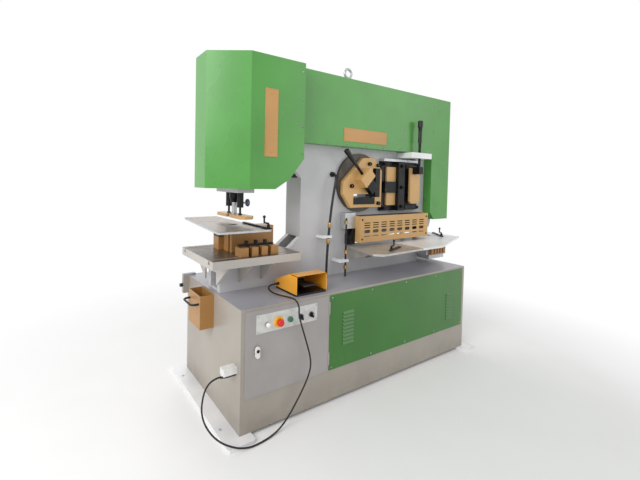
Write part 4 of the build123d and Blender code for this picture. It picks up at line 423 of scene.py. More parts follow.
YELLOW_PLASTIC = Moulded("stop_yellow_plastic", (0.95, 0.70, 0.14), roughness=0.40, texture=0.2)
GREEN_PLASTIC = Moulded("start_green_plastic", (0.10, 0.46, 0.30), roughness=0.28, texture=0.08)
BLACK_PLASTIC = Moulded("black_plastic", (0.06, 0.06, 0.065), roughness=0.45, texture=0.35)
BLUE_GREY_PLASTIC = Moulded("knob_blue_grey_plastic", (0.33, 0.38, 0.46), roughness=0.42)
WHITE_PLASTIC = Moulded("white_plastic", (0.92, 0.92, 0.91), roughness=0.38, texture=0.15)
LENS_WHITE = Moulded("lamp_lens", (0.96, 0.96, 0.93), roughness=0.16, texture=0.04)
CABLE_RUBBER = Moulded("cable_rubber", (0.055, 0.055, 0.05), roughness=0.58, texture=0.4)
TREAD_RUBBER = Moulded("tread_rubber", (0.07, 0.07, 0.07), roughness=0.7, texture=0.5)


@dataclass(frozen=True)
class Zone:
    """A box of the part's frame inside which a node has another finish, open where it has no bounds."""

    finish: Finish
    x: Span = OPEN
    y: Span = OPEN
    z: Span = OPEN


class Painter:
    """Makes each material once, from a main finish and the zones of a node that differ."""

    BUMP_STRENGTH = 0.12
    BUMP_DEPTH = 0.0006
    COAT_ROUGHNESS = 0.14

    def __init__(self) -> None:
        """Start with no materials."""
        self.made: dict[Any, Any] = {}

    def material(self, finish: Finish, zones: Sequence[Zone] = ()) -> Any:
        """Material for a finish with its zones, laid out when it is first asked for.

        Args:
            finish: the main finish.
            zones: boxes that have another finish, the later ones over the earlier ones.

        Returns:
            The Blender material.
        """
        key = (finish, tuple(zones))
        if key in self.made:
            return self.made[key]
        name = finish.name if not zones else f"{finish.name}_zoned_{len(self.made)}"
        graph = Graph(bpy.data.materials.new(name))
        look = finish.look(graph)
        for zone in zones:
            other = zone.finish.look(graph)
            mask = graph.box_mask(zone.x, zone.y, zone.z)
            rest = 1.0 - mask
            look = Look(graph.blend(mask, look.colour, other.colour),
                        look.roughness * rest + other.roughness * mask,
                        rest * look.metallic + mask * other.metallic,
                        look.height * rest + other.height * mask)
        bump = graph.add("ShaderNodeBump", {}, {"Strength": self.BUMP_STRENGTH, "Distance": self.BUMP_DEPTH,
                                                "Height": look.height})
        inputs = {"Base Color": look.colour, "Roughness": look.roughness, "Metallic": look.metallic,
                  "Coat Weight": finish.coat, "Coat Roughness": self.COAT_ROUGHNESS, "Normal": bump}
        shader = graph.add("ShaderNodeBsdfPrincipled", {}, inputs)
        graph.add("ShaderNodeOutputMaterial", {}, {"Surface": shader})
        self.made[key] = graph.owner
        return graph.owner

    def dress(self, obj: Any, finish: Finish, zones: Sequence[Zone] = ()) -> None:
        """Give an object the one material for a finish and its zones."""
        material = self.material(finish, zones)
        if not obj.material_slots:
            obj.data.materials.append(material)
        for slot in obj.material_slots:
            slot.material = material


def placed(name: str, data: Any) -> Any:
    """Make an object from its mesh, curve, light or camera and put it in the scene."""
    obj = bpy.data.objects.new(name, data)
    bpy.context.scene.collection.objects.link(obj)
    return obj


def stance(axes: np.ndarray, place: Point) -> Matrix:
    """World matrix of an object with the given axes, as the columns of a 3 by 3 rotation, and origin."""
    matrix = np.eye(4)
    matrix[:3, :3] = axes
    matrix[:3, 3] = place
    return Matrix(matrix.tolist())


def grid_faces(rows: int, columns: int, closed: bool) -> np.ndarray:
    """Quads of a grid of points, row by row.

    The quad at row i and column j joins the points (i, j), (i, j + 1), (i + 1, j + 1) and (i + 1, j).

    Args:
        rows: points along the profile.
        columns: points around or across.
        closed: whether the last column joins the first.

    Returns:
        An array of four point numbers for each face.
    """
    i = np.arange(rows - 1)[:, None]
    j = np.arange(columns if closed else columns - 1)[None, :]
    right = (j + 1) % columns
    return np.stack([i * columns + j, i * columns + right, (i + 1) * columns + right, (i + 1) * columns + j],
                    axis=-1).reshape(-1, 4)


def axis_frame(axis: Point) -> np.ndarray:
    """Rotation, 3 by 3 and right-handed, whose third column lies along an axis of any length."""
    w = np.asarray(axis, dtype=float)
    w = w / np.linalg.norm(w)
    helper = np.array([0.0, 0.0, 1.0]) if abs(w[2]) < 0.9 else np.array([1.0, 0.0, 0.0])
    u = np.cross(helper, w)
    u = u / np.linalg.norm(u)
    return np.stack([u, np.cross(w, u), w], axis=1)


def turned(profile: Profile, sides: int, waves: int = 0, wave_depth: float = 0.0) -> Shape:
    """Body of revolution about +Z from a profile.

    A point of the profile at radius r and height h goes to (r k cos a, r k sin a, h) for each angle a, where
    k is 1 + wave_depth cos(waves a). The profile closes the body, since it begins and ends on the axis or ends
    where it begins.

    Args:
        profile: radii and heights, from the bottom up the outside.
        sides: how many steps go round.
        waves: lobes round the edge.
        wave_depth: depth of a lobe as a share of the radius.

    Returns:
        The points, and the quads that join them.
    """
    radius, height = np.asarray(profile, dtype=float).T
    angle = np.linspace(0.0, 2.0 * np.pi, sides, endpoint=False)
    swell = 1.0 + wave_depth * np.cos(waves * angle)
    x = radius[:, None] * (swell * np.cos(angle))[None, :]
    y = radius[:, None] * (swell * np.sin(angle))[None, :]
    z = np.broadcast_to(height[:, None], x.shape)
    points = np.stack([x, y, z], axis=-1).reshape(-1, 3)
    return points, grid_faces(len(radius), sides, closed=True)


def repeated(shape: Shape, places: Sequence[Point], axes: Sequence[Point]) -> Shape:
    """Copies of one shape, each turned so that its +Z lies along its own axis and moved to its place.

    Args:
        shape: the shape's points and quads.
        places: where each copy stands.
        axes: where each copy points.

    Returns:
        The points and quads of all the copies.
    """
    points, faces = shape
    turns = np.stack([axis_frame(axis) for axis in axes])
    moved = np.einsum("kij,pj->kpi", turns, points) + np.asarray(places, dtype=float)[:, None, :]
    offsets = np.arange(len(places))[:, None, None] * len(points)
    return moved.reshape(-1, 3), (faces[None] + offsets).reshape(-1, 4)


def joined(shapes: Sequence[Shape]) -> Shape:
    """Put the points and quads of several shapes into one shape."""
    sizes = np.cumsum([0] + [len(points) for points, _ in shapes[:-1]])
    points = np.concatenate([points for points, _ in shapes])
    faces = np.concatenate([faces + start for (_, faces), start in zip(shapes, sizes)])
    return points, faces


def slab(low: Point, high: Point, corner: float) -> Shape:
    """Block with rounded upright edges and a small chamfer all round its top and bottom.

    In plan it is a rectangle with each corner carried round an arc of the given radius. Four rings of that plan,
    drawn in by 1, 0, 0 and 1 chamfers, make the sides and close to a point at both ends.

    Args:
        low: lowest corner.
        high: highest corner.
        corner: radius of the upright edges.

    Returns:
        The points and quads.
    """
    lowest, highest = np.asarray(low, dtype=float), np.asarray(high, dtype=float)
    middle, half = (lowest + highest) / 2, (highest - lowest) / 2
    arc = np.linspace(0.0, np.pi / 2, 5)
    quarter = np.concatenate([arc + turn * np.pi / 2 for turn in range(4)])
    signs = np.repeat(np.array([[1, 1], [-1, 1], [-1, -1], [1, -1]]), len(arc), axis=0)
    chamfer = min(corner, half[2]) * 0.35
    to_middle = 2.0 * float(half.max())
    inset = np.array([to_middle, chamfer, 0.0, 0.0, chamfer, to_middle])
    level = np.array([-half[2], -half[2], chamfer - half[2], half[2] - chamfer, half[2], half[2]])
    centre = np.maximum(half[:2] - corner, 0.0)
    ring = signs * centre[None, :] + corner * np.stack([np.cos(quarter), np.sin(quarter)], axis=1)
    length = np.linalg.norm(ring, axis=1)
    share = np.maximum(1.0 - inset[:, None] / length[None, :], 0.0)
    plan = ring[None] * share[..., None]
    z = np.broadcast_to(level[:, None], share.shape)
    points = np.concatenate([plan, z[..., None]], axis=-1).reshape(-1, 3) + middle
    return points, grid_faces(len(level), len(ring), closed=True)


class Shop:
    """Makes pieces from points and quads, dresses them and puts them on their bodies."""

    WELD = 3e-5

    def __init__(self, painter: Painter) -> None:
        """Keep the painter."""
        self.painter = painter

    def piece(self, name: str, shape: Shape, finish: Finish, body: str = "machine",
              sharp_degrees: float = 35.0) -> Any:
        """Make one object, with points that lie within the weld's distance joined.

        Args:
            name: the piece's name.
            shape: its points and quads, in the part's frame.
            finish: its finish.
            body: the CAD body that it moves with.
            sharp_degrees: edges that turn more than this stay sharp.

        Returns:
            The new object.
        """
        points, faces = shape
        mesh = bpy.data.meshes.new(name)
        mesh.from_pydata(points.tolist(), [], faces.tolist())
        welded = bmesh.new()
        welded.from_mesh(mesh)
        bmesh.ops.remove_doubles(welded, verts=welded.verts, dist=self.WELD)
        welded.to_mesh(mesh)
        welded.free()
        mesh.validate(clean_customdata=False)
        mesh.polygons.foreach_set("use_smooth", np.ones(len(mesh.polygons), dtype=bool))
        mesh.set_sharp_from_angle(angle=math.radians(sharp_degrees))
        mesh.update()
        obj = placed(name, mesh)
        self.painter.dress(obj, finish)
        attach(obj, body)
        LOG.info("%s on %s, %d faces", name, body, len(mesh.polygons))
        return obj

    def turn(self, name: str, profile: Profile, places: Sequence[Point], finish: Finish, slot: Slot,
             body: str = "machine", axis: Point = Axis.FRONT.value, sides: int = 32) -> Any:
        """Make one object of equal turned shapes that all point the same way.

        Args:
            name: the piece's name.
            profile: radii and heights, as turned takes them.
            places: where the profile's height of 0 stands.
            finish, body: as piece takes them. slot: not used.
            axis: the direction of the profile's height.
            sides: how many steps go round.

        Returns:
            The new object.
        """
        shape = repeated(turned(profile, sides), places, [axis] * len(places))
        return self.piece(name, shape, finish, body)


class Assembly(ABC):
    """A group of detail pieces that belong together."""

    @abstractmethod
    def build(self, shop: Shop) -> None:
        """Make the pieces.

        Args:
            shop: makes them and gives their materials.
        """


def socket_screw(diameter: float, height: float) -> Profile:
    """Profile of a cap screw's head with a sunk socket, from its seat to the socket's floor."""
    r = diameter / 2
    edge = r * 0.12
    return [(TIP, 0.0), (r, 0.0), (r, height - edge), (r - edge, height), (r * 0.52, height),
            (r * 0.48, height - 0.3 * edge), (r * 0.48, height * 0.72), (TIP, height * 0.70)]


def button_screw(diameter: float, height: float) -> Profile:
    """Profile of a domed screw's head with a small sunk drive, from its seat to the drive's floor."""
    r = diameter / 2
    return [(TIP, 0.0), (r, 0.0), (r, height * 0.25), (r * 0.86, height * 0.62), (r * 0.6, height * 0.9),
            (r * 0.42, height), (r * 0.38, height * 0.55), (TIP, height * 0.5)]


def on_front(face: float, spots: Iterable[tuple[float, float]]) -> list[Point]:
    """Places on a plane that faces the operator, at the given y, from their x and z."""
    return [(float(x), face, float(z)) for x, z in spots]


@dataclass
class Fasteners(Assembly):
    """Screws of the angle housing, the covers, the panels, the stations and the bending tools."""

    housing_face: float = -0.1525
    cover_face: float = -0.170
    hood_face: float = -0.250
    panel_face: float = -0.443
    plate_face: float = -0.4453
    section_base_face: float = -0.134
    section_rail_face: float = -0.168
    guard_face: float = -0.205
    clamp_top: float = 1.032
    cover_screw: tuple[float, float] = (0.013, 0.005)

    def build(self, shop: Shop) -> None:
        """Make all the screws."""
        dark, bright = (DARK_OXIDE, Slot.OXIDE), (GROUND_STEEL, Slot.STEEL)
        button = button_screw(*self.cover_screw)
        housing = ((0.175, 1.567), (-0.012, 1.392), (0.284, 1.256), (0.270, 1.560))
        cover = [*product(np.linspace(-0.47, 0.90, 8), (1.703,)), *product((0.972,), np.linspace(1.20, 2.12, 5))]
        hood = product((-0.552,), np.linspace(1.60, 2.13, 4))
        panel = product(np.linspace(-0.424, 1.020, 5), (0.233, 0.682))
        plate = product((-0.968, -0.560), (0.576, 0.662))
        section = (on_front(self.section_base_face, product((0.376, 0.798), (1.212, 1.578)))
                   + on_front(self.section_rail_face, product((0.553,), (1.225, 1.386, 1.565))))
        guard = product((0.066, 0.851), (0.985, 1.135))
        clamp = [(x, -0.164, self.clamp_top) for x in (-0.905, -0.837, -0.769)]
        for name, profile, places, look, body, axis, sides in (
                ("housing_screws", socket_screw(0.030, 0.019), on_front(self.housing_face, housing), dark,
                 "machine", Axis.FRONT, 28),
                ("cover_screws", button, on_front(self.cover_face, cover), bright, "machine", Axis.FRONT, 20),
                ("hood_screws", button, on_front(self.hood_face, hood), bright, "machine", Axis.FRONT, 20),
                ("panel_screws", button_screw(0.012, 0.004), on_front(self.panel_face, panel), bright,
                 "machine", Axis.FRONT, 20),
                ("plate_screws", button_screw(0.007, 0.0022), on_front(self.plate_face, plate), bright,
                 "control_door", Axis.FRONT, 16),
                ("section_screws", socket_screw(0.028, 0.016), section, dark, "machine", Axis.FRONT, 24),
                ("guard_screws", button_screw(0.014, 0.006), on_front(self.guard_face, guard), dark,
                 "machine", Axis.FRONT, 20),
                ("clamp_bolts", socket_screw(0.027, 0.010), clamp, dark, "machine", Axis.UP, 20)):
            shop.turn(name, profile, places, *look, body, axis.value, sides)


@dataclass
class PipeFittings(Assembly):
    """Brass ferrules on the pressure pipe and its union where it turns into the frame."""

    radius: float = 0.009
    ferrules: tuple[Point, ...] = ((-0.2263, -0.150, 0.986), (-0.2156, -0.150, 1.104))
    leans: tuple[Point, ...] = ((0.067, 0.0, 1.0), (0.100, 0.0, 1.0))
    union: Point = (-0.156, -0.092, 1.476)

    def build(self, shop: Shop) -> None:
        """Make the two ferrules, which follow the pipe's lean, and the hexagonal union."""
        r = self.radius
        bore = r * 0.9
        ferrule = [(bore, -0.018), (r + 0.004, -0.018), (r + 0.0055, -0.015), (r + 0.0055, -0.006),
                   (r + 0.003, -0.004), (r + 0.003, 0.004), (r + 0.0055, 0.006), (r + 0.0055, 0.015),
                   (r + 0.004, 0.018), (bore, 0.018), (bore, -0.018)]
        shape = repeated(turned(ferrule, 28), self.ferrules, self.leans)
        shop.piece("pipe_ferrules", shape, BRASS)
        union = [(bore, 0.0), (0.021, 0.0), (0.021, 0.010), (0.017, 0.013), (0.0165, 0.026), (0.013, 0.029),
                 (bore, 0.030), (bore, 0.0)]
        shop.turn("pipe_union", union, [self.union], OXIDE, Slot.OXIDE, sides=6)


@dataclass
class ControlDevices(Assembly):
    """Bezels, the lamp's lens, the collar of the stop button, the pointers of the selectors and the lock's cylinder."""

    plate_face: float = -0.4453
    height: float = 0.611
    first: float = -0.910
    pitch: float = 0.078
    lens_radius: float = 0.0122
    lens_front: float = 0.0225
    lens_rise: float = 0.0045
    lock: Point = (-0.974, -0.4633, 0.4785)

    def place(self, number: int) -> Point:
        """Place of a device on the plate, counted from the left."""
        return self.first + number * self.pitch, self.plate_face, self.height

    def lens(self) -> Profile:
        """Profile of the lamp's lens, from its base over its domed front.

        The dome's height is its rise times the square root of 1 - (radius / edge radius) squared.

        Returns:
            Its radii and heights.
        """
        radius = np.linspace(self.lens_radius, TIP, 14)
        dome = self.lens_front + self.lens_rise * np.sqrt(np.clip(1.0 - (radius / self.lens_radius) ** 2, 0.0, 1.0))
        base = [(TIP, 0.010), (0.0118, 0.010), (self.lens_radius, 0.0115)]
        return base + list(zip(radius.tolist(), dome.tolist()))

    def build(self, shop: Shop) -> None:
        """Make what is on the control plate, on its switches and on the lock."""
        bezel = [(0.0156, 0.0), (0.0190, 0.0), (0.0190, 0.0022), (0.0178, 0.0034), (0.0160, 0.0034), (0.0156, 0.0)]
        shop.turn("device_bezels", bezel, [self.place(n) for n in (2, 3, 4)], TURNED_STEEL, Slot.STEEL,
                  "control_door", sides=40)
        shop.turn("lamp_lens", self.lens(), [self.place(0)], LENS_WHITE, Slot.WHITE_PLASTIC, "control_door", sides=36)
        collar = [(0.0285, 0.0), (0.0315, 0.0), (0.0315, 0.0008), (0.0305, 0.0014), (0.0298, 0.0014),
                  (0.0298, 0.0102), (0.0292, 0.0108), (0.0285, 0.0108), (0.0285, 0.0)]
        shop.turn("stop_disc", collar, [self.place(1)], YELLOW_PLASTIC, Slot.GOLD, "control_door", sides=48)
        for number, body in ((3, "selector_left"), (4, "selector_right")):
            x, y, z = self.place(number)
            line = slab((x - 0.0010, y - 0.0265, z + 0.002), (x + 0.0010, y - 0.0258, z + 0.0125), 0.0004)
            shop.piece(f"pointer_{body}", line, WHITE_PLASTIC, body)
        cylinder = [(TIP, 0.0), (0.0095, 0.0), (0.0095, 0.0016), (0.0086, 0.0026), (0.0062, 0.0026),
                    (0.0060, 0.0012), (TIP, 0.0012)]
        shop.turn("lock_cylinder", cylinder, [self.lock], OXIDE, Slot.OXIDE, "door_lock")


@dataclass
class Grips(Assembly):
    """Ribbed grips of the two hold-down screws and the balls of the clamp levers."""

    root: float = 0.0125
    end: float = 0.0215
    ribs: int = 13
    rib_depth: float = 0.0007
    ball_radius: float = 0.0095
    angle_corner: Point = (0.250, -0.190, 1.300)
    angle_start: float = 0.336
    section_place: Point = (0.715, -0.215, 1.766)

    def sleeve(self, length: float, step: float) -> Profile:
        """Profile of a ribbed sleeve that widens towards its domed end.

        Its radius goes from root to end along a line where the step is 0 and along a sudden smooth rise two thirds of
        the way up where the step is 1. The ribs take off their depth times |sin| of their phase to the power 0.6, and
        the end closes over a quarter circle.

        Args:
            length: how long the sleeve is.
            step: share of the sudden rise in the widening.

        Returns:
            Its radii and heights.
        """
        t = np.linspace(0.0, 1.0, 8 * self.ribs + 1)
        rise = 0.35 + 0.65 / (1.0 + np.exp(-60.0 * (t - 0.70)))
        share = t * (1.0 - step) + rise * step
        ribs = self.rib_depth * np.abs(np.sin(np.pi * self.ribs * t)) ** 0.6
        radius = self.root + (self.end - self.root) * share - ribs
        turn = np.linspace(0.0, np.pi / 2, 8)[1:]
        cap_radius = np.maximum(radius[-1] * np.cos(turn), TIP)
        cap_height = length + 0.35 * self.end * np.sin(turn)
        radii = np.concatenate([[TIP], radius, cap_radius])
        heights = np.concatenate([[0.0], t * length, cap_height])
        return list(zip(radii.tolist(), heights.tolist()))

    def ball(self) -> Profile:
        """Profile of a ball on the end of a clamp lever: a circle cut off flat below."""
        turn = np.linspace(-1.25, np.pi / 2, 16)
        radius = np.maximum(self.ball_radius * np.cos(turn), TIP)
        height = self.ball_radius * np.sin(turn) + 0.0045
        return [(TIP, float(height[0]))] + list(zip(radius.tolist(), height.tolist()))

    def build(self, shop: Shop) -> None:
        """Make the sleeves and the balls."""
        black = (BLACK_PLASTIC, Slot.BLACK_PLASTIC)
        slope = math.sqrt(0.5)
        x, y, z = self.angle_corner
        place = (x - slope * self.angle_start, y, z + slope * self.angle_start)
        shop.turn("angle_grip", self.sleeve(0.164, 0.0), [place], *black, "angle_screw", (-slope, 0.0, slope))
        shop.turn("section_grip", self.sleeve(0.184, 1.0), [self.section_place], *black, "section_screw",
                  Axis.UP.value)
        for name, place, body in (("punch_lever_ball", (-0.826, -0.248, 1.1926), "punch_clamp"),
                                  ("shear_lever_ball", (0.1808, -0.4134, 0.9943), "shear_gauge"),
                                  ("notch_lever_ball", (1.1644, -0.1308, 0.9943), "notch_gauge")):
            shop.turn(name, self.ball(), [place], *black, body, Axis.UP.value, sides=28)


@dataclass
class StripperKnob(Assembly):
    """Lobed knob of the stripper and its stem, in place of the plain one."""

    seat: Point = (-0.8682, -0.085, 1.275)
    lobes: int = 7
    lobe_depth: float = 0.035

    def build(self, shop: Shop) -> None:
        """Make the knob and its stem."""
        profile = [(TIP, 0.0), (0.016, 0.0), (0.0225, 0.0025), (0.0242, 0.006), (0.0242, 0.012), (0.0225, 0.0155),
                   (0.017, 0.0172), (0.010, 0.0176), (TIP, 0.0178)]
        lobed = turned(profile, 10 * self.lobes, waves=self.lobes, wave_depth=self.lobe_depth)
        shape = repeated(lobed, [self.seat], [Axis.RIGHT.value])
        knob = shop.piece("stripper_lobed_knob", shape, BLUE_GREY_PLASTIC, "stripper_knob", 50.0)
        stem = [(TIP, -0.0212), (0.006, -0.0212), (0.006, 0.002), (TIP, 0.002)]
        shop.turn("stripper_knob_stem", stem, [self.seat], TURNED_STEEL, Slot.STEEL, "stripper_knob",
                  Axis.RIGHT.value, sides=20)
        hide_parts("stripper_knob")


@dataclass
class BlankPlates(Assembly):
    """Raised rims round the two blank plates of the covers."""

    rim: float = 0.0045
    proud: float = 0.0012
    sunk: float = 0.0002
    corner: float = 0.0005

    def build(self, shop: Shop) -> None:
        """Make the rims, four bars to a plate."""
        rim = self.rim
        bars = []
        for x0, x1, face, z0, z1 in ((-0.835, -0.742, -0.252, 1.569, 1.987), (-0.115, 0.345, -0.172, 1.725, 1.824)):
            for left, right, bottom, top in ((x0, x1, z0, z0 + rim), (x0, x1, z1 - rim, z1),
                                             (x0, x0 + rim, z0 + rim, z1 - rim), (x1 - rim, x1, z0 + rim, z1 - rim)):
                bars.append(slab((left, face - self.proud, bottom), (right, face + self.sunk, top), self.corner))
        shop.piece("plate_rims", joined(bars), COPPER_TAN)


@dataclass
class TreadleRibs(Assembly):
    """Ribbed rubber on the treadle of the foot switch."""

    hinge: Point = (-0.560, -0.215, 0.753)
    ribs: int = 9
    rise: float = 0.018
    run: float = 0.170
    half_length: float = 0.048
    half_width: float = 0.004

    def build(self, shop: Shop) -> None:
        """Make the ribs, which lie across the treadle and follow its slope.

        Each rib stands where the treadle's top is: z grows by the rise over the run from the hinge to the front.
        """
        x, hinge_y, hinge_z = self.hinge
        ys = np.linspace(-0.376, -0.262, self.ribs)
        tops = hinge_z + (hinge_y - ys) / self.run * self.rise
        ribs = [slab((x - self.half_length, y - self.half_width, top - 0.0008),
                     (x + self.half_length, y + self.half_width, top + 0.0024), 0.0016)
                for y, top in zip(ys.tolist(), tops.tolist())]
        shop.piece("treadle_ribs", joined(ribs), TREAD_RUBBER, "pedal_treadle")


@dataclass
class PedalCable(Assembly):
    """The cable of the foot switch, from its strain relief over the cabinet's edge and back to the socket."""

    diameter: float = 0.0095
    length: float = 1.922
    body: str = "machine"
    route: tuple[Point, ...] = (
        (-0.702, -0.200, 0.751), (-0.736, -0.200, 0.751), (-0.767, -0.217, 0.746), (-0.786, -0.252, 0.738),
        (-0.784, -0.300, 0.730), (-0.764, -0.346, 0.726), (-0.732, -0.408, 0.725), (-0.722, -0.452, 0.724),
        (-0.716, -0.484, 0.692), (-0.720, -0.487, 0.640), (-0.690, -0.486, 0.553), (-0.655, -0.486, 0.454),
        (-0.629, -0.486, 0.375), (-0.622, -0.486, 0.305), (-0.649, -0.486, 0.238), (-0.692, -0.487, 0.172),
        (-0.740, -0.488, 0.108), (-0.792, -0.490, 0.050), (-0.850, -0.498, 0.014), (-0.910, -0.512, 0.006),
        (-0.975, -0.523, 0.0055), (-1.045, -0.525, 0.006), (-1.107, -0.522, 0.022), (-1.152, -0.519, 0.047),
        (-1.194, -0.500, 0.067), (-1.222, -0.440, 0.077), (-1.250, -0.400, 0.121), (-1.263, -0.380, 0.175),
        (-1.262, -0.374, 0.226), (-1.245, -0.373, 0.303), (-1.203, -0.373, 0.345), (-1.156, -0.373, 0.345),
    )

    def build(self, shop: Shop) -> None:
        curve = bpy.data.curves.new("foot_switch_cable", "CURVE")
        curve.dimensions = "3D"
        curve.bevel_depth = self.diameter / 2
        curve.bevel_resolution = 5
        curve.use_fill_caps = True
        spline = curve.splines.new("NURBS")
        spline.points.add(len(self.route) - 1)
        weighted = np.concatenate([np.asarray(self.route), np.ones((len(self.route), 1))], axis=1)
        spline.points.foreach_set("co", weighted.ravel())
        spline.order_u = 3
        spline.use_endpoint_u = True
        spline.resolution_u = 8
        cable = placed("foot_switch_cable", curve)
        curve.materials.append(shop.painter.material(CABLE_RUBBER))
        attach(cable, self.body)
        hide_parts("pedal_cable")
        LOG.info("foot_switch_cable, %.3f m", self.length)


PLAIN = {
    WHITE_PAINT: ("foot_bars", "notch_table"),
    # The louvred panel's green holds painted shade.
    PANEL_GREEN_WITH_SHADE: ("louvred_panel",),
    DOOR_GREY: ("control_door",),
    RED_PLASTIC: ("stop_button",),
    GREEN_PLASTIC: ("start_button",),
    BLACK_PLASTIC: ("selector_left", "selector_right"),
    WHITE_PLASTIC: ("door_lock",),
    BLUE_GREY_PLASTIC: ("stripper_knob",),
    SILVER: ("electrical_panel", "lifting_eye"),
    CAST_GREY: ("power_pack", "shear_cylinder"),
    FRAME_GREY: ("frame_back_plate", "frame_spacers", "shear_beam", "punch_cylinder"),
    GROUND_STEEL: ("moving_blades",),
    TURNED_STEEL: ("shear_piston", "punch"),
    SHEAR_STEEL: ("shear_table",),
    OXIDE: ("stripper_posts", "punch_gauge", "shear_gauge", "notch_gauge", "blades_and_dies", "angle_pad",
            "section_base"),
    DARK_OXIDE: ("punch_ram", "punch_clamp_lever", "angle_screw", "section_screw"),
    GOLD: ("stripper_plate", "angle_nut_block"),
    DEEP_GOLD: ("die_holder",),
    COPPER_TAN: ("blank_plates",),
    GREEN: ("upper_cover", "end_cover", "punch_hood"),
    BLACK_PAINT_AND_SHADE: ("pressure_pipe", "pedal_base", "pedal_treadle"),
    ORANGE: ("pedal_guard",),
    CABLE_RUBBER: ("pedal_cable",),
}
"""Nodes that have one finish all over."""

ZONED = {
    "base_cabinet": (CABINET_GREY, Zone(BLACK_PLASTIC, (-FAR, -1.116), (0.40, 0.45), (0.62, 0.68)),
        Zone(TOP_GREY, z=(0.7149, FAR))),
    "control_plate": (PLATE_FOIL, Zone(YELLOW_PLASTIC, (-0.862, -0.802), (-FAR, -0.4455), (0.58, 0.642)),
        Zone(TURNED_STEEL, (-0.925, -0.895), (-FAR, -0.4455), (0.596, 0.626))),
    # The black zone on the frame's face behind the flat guard is painted shade inside the guard.
    "frame_front_plate": (FRAME_GREY, Zone(BLACK_PAINT_AND_SHADE, (0.045, 0.871), (-0.0921, FAR), (0.931, 1.160)),
        Zone(SILVER, (-0.063, 0.046), (-FAR, -0.0921), (1.065, 1.187)),
        Zone(WHITE_PAINT, (-0.31, -0.20), (-FAR, -0.0921), (1.00, 1.04)),
        Zone(WHITE_PAINT, (-0.145, -0.05), (-FAR, -0.0921), (0.82, 0.85))),
    "lower_table": (TABLE_GREY, Zone(TABLE_STEEL, z=(0.9546, FAR))),
    "upper_table": (SILVER, Zone(TABLE_STEEL, z=(1.1276, FAR))),
    "bending_tools": (DEEP_GOLD, Zone(OXIDE, (-0.97, -0.70), (-FAR, -0.14), (1.0091, 1.04)),
        Zone(OXIDE, y=(0.05, FAR), z=(1.040, FAR)),
        Zone(OXIDE, (-0.97, -0.70), (-0.1855, -0.1845), (-FAR, 1.0091))),
    # The ring behind the angle housing is grey steel darkened with painted shade.
    "angle_housing": (GOLD, Zone(RING_GREY_WITH_SHADE, y=(-0.1185, FAR))),
    "section_panels": (GOLD, Zone(OXIDE, x=(0.60, FAR))),
    "section_slide": (GOLD, Zone(OXIDE, y=(-FAR, -0.1681))),
    "screw_bracket": (WHITE_PAINT, Zone(SILVER, z=(-FAR, 1.6201))),
    # The flat guard's top flange is gold; the black zone on it is painted shade.
    "flat_guard": (GOLD, Zone(BLACK_PAINT_AND_SHADE, (0.0501, 0.8669), (-0.1999, FAR), (1.151, FAR)),
        Zone(OXIDE, x=(-FAR, 0.0449))),
    "notch_box": (SILVER, Zone(DEEP_GOLD, y=(-FAR, -0.2151))),
    "socket_housing": (WHITE_PLASTIC, Zone(BLACK_PLASTIC, z=(-FAR, 0.3519))),
    "scrap_bin": (DEEP_GOLD, Zone(BLACK_PLASTIC, x=(-FAR, -1.1611))),
    "stroke_rod": (BLACK_PAINT_AND_SHADE, *(Zone(BRASS, z=(z - 0.0131, z + 0.0131)) for z in (0.783, 0.897, 1.119))),
}
"""Nodes with a main finish and zones of other finishes, the later zones over the earlier ones."""


def dress_nodes(painter: Painter, nodes: dict[str, Any]) -> None:
    """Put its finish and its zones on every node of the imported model.

    Args:
        painter: makes the materials.
        nodes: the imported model's objects by name.
    """
    plain = {name: (finish,) for finish, names in PLAIN.items() for name in names}
    table: dict[str, tuple[Any, ...]] = {**plain, **ZONED}
    for name, obj in nodes.items():
        finish, *zones = table[name]
        painter.dress(obj, finish, zones)
    LOG.info("dressed %d nodes", len(nodes))


@dataclass(frozen=True)
class Lamp:
    """A square area lamp, with its target, the length of its side and its power in watts."""

    name: str
    place: Point
    target: Point
    side: float
    power: float


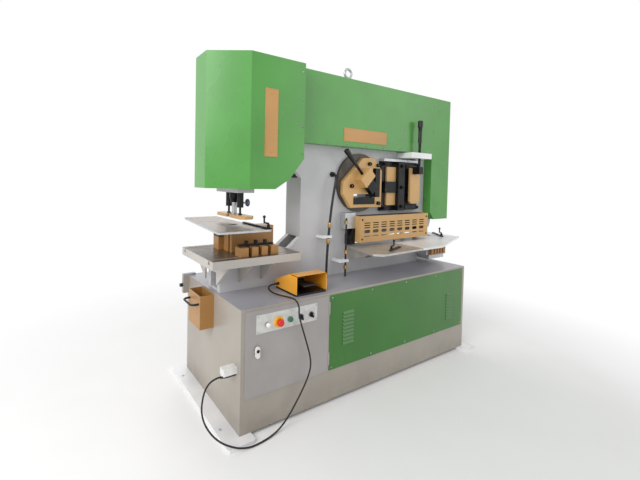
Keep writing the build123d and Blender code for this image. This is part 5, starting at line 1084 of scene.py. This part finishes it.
@dataclass
class Studio:
    """Pale floor, soft lamps, white background and the camera of the photograph."""

    position: Point = (-1.9506, -2.1810, 1.4226)
    right: Point = (0.83250, -0.55365, 0.02027)
    down: Point = (-0.00039, -0.03718, -0.99931)
    forward: Point = (0.55402, 0.83192, -0.03117)
    lens: float = 20.417
    shift: tuple[float, float] = (0.0519, -0.0750)
    sky: float = 0.62
    floor_half: float = 14.0
    floor_level: float = -0.0004
    lamps: tuple[Lamp, ...] = (
        Lamp("key_lamp", (-5.2, -1.7, 3.6), (0.0, 0.0, 1.1), 3.2, 165.0),
        Lamp("fill_lamp", (3.8, -4.2, 3.0), (0.2, 0.0, 1.0), 3.4, 34.0),
        Lamp("back_lamp", (0.5, 4.2, 4.4), (0.0, 0.0, 1.2), 3.0, 80.0),
    )

    def build(self) -> None:
        """Set the whole studio up."""
        bpy.context.scene.view_settings.view_transform = "Standard"
        self._camera()
        self._world()
        self._floor()
        self._lamps()
        LOG.info("studio ready")

    def _camera(self) -> None:
        """Put the camera where the photograph was taken from."""
        data = bpy.data.cameras.new("photo_camera")
        data.sensor_width = 36.0
        data.lens = self.lens
        data.shift_x, data.shift_y = self.shift
        data.clip_end = 100.0
        camera = placed("photo_camera", data)
        axes = np.stack([self.right, -np.asarray(self.down), -np.asarray(self.forward)], axis=1)
        camera.matrix_world = stance(axes, self.position)
        bpy.context.scene.camera = camera

    def _world(self) -> None:
        """Soft light from all round that the camera and reflections see as white."""
        world = bpy.data.worlds.new("soft_white")
        graph = Graph(world)
        dim, white = (graph.add("ShaderNodeBackground", {}, {"Color": (1.0, 1.0, 1.0, 1.0), "Strength": strength})
                      for strength in (self.sky, 1.0))
        mix = graph.add("ShaderNodeMixShader", {}, {0: graph.seen(), 1: dim, 2: white})
        graph.add("ShaderNodeOutputWorld", {}, {"Surface": mix})
        bpy.context.scene.world = world

    def _floor(self) -> None:
        """Pale floor that fades to white away from the machine and keeps its shadow."""
        graph = Graph(bpy.data.materials.new("pale_floor"))
        reach = graph.value("ShaderNodeVectorMath", {"operation": "LENGTH"}, {0: graph.coords}, "Value")
        fade = reach.ramp(1.9, 0.9)
        sweep = graph.noise(3.0, 3.0)
        tone = graph.blend(sweep.held(), linear((0.95, 0.95, 0.95)), linear((0.97, 0.97, 0.97)))
        matte = graph.add("ShaderNodeBsdfPrincipled", {}, {"Base Color": tone, "Roughness": 0.75})
        glow = graph.add("ShaderNodeEmission", {}, {"Strength": 1.0})
        mix = graph.add("ShaderNodeMixShader", {}, {0: fade * graph.seen(), 1: matte, 2: glow})
        graph.add("ShaderNodeOutputMaterial", {}, {"Surface": mix})
        half, level = self.floor_half, self.floor_level
        mesh = bpy.data.meshes.new("floor")
        mesh.from_pydata([(-half, -half, level), (half, -half, level), (half, half, level), (-half, half, level)],
                         [], [(0, 1, 2, 3)])
        mesh.materials.append(graph.owner)
        placed("floor", mesh)

    def _lamps(self) -> None:
        """Large soft lamps: a key from the upper left, a fill from the right and one from behind."""
        for lamp in self.lamps:
            data = bpy.data.lights.new(lamp.name, "AREA")
            data.shape = "SQUARE"
            data.size = lamp.side
            data.energy = lamp.power
            backwards = np.asarray(lamp.place) - np.asarray(lamp.target)
            placed(lamp.name, data).matrix_world = stance(axis_frame(tuple(backwards.tolist())), lamp.place)


def main() -> None:
    """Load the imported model, dress it, add the detail pieces and set the studio up."""
    logging.basicConfig(level=logging.INFO, format="%(name)s: %(message)s")
    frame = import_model()
    painter = Painter()
    shop = Shop(painter)
    Studio().build()
    PedalCable().build(shop)
    dress_nodes(painter, frame["nodes"])
    for assembly in (Fasteners(), PipeFittings(), ControlDevices(), Grips(), StripperKnob(), BlankPlates(),
                     TreadleRibs()):
        assembly.build(shop)
        LOG.info("%s built", type(assembly).__name__)


if __name__ == "__main__":
    main()
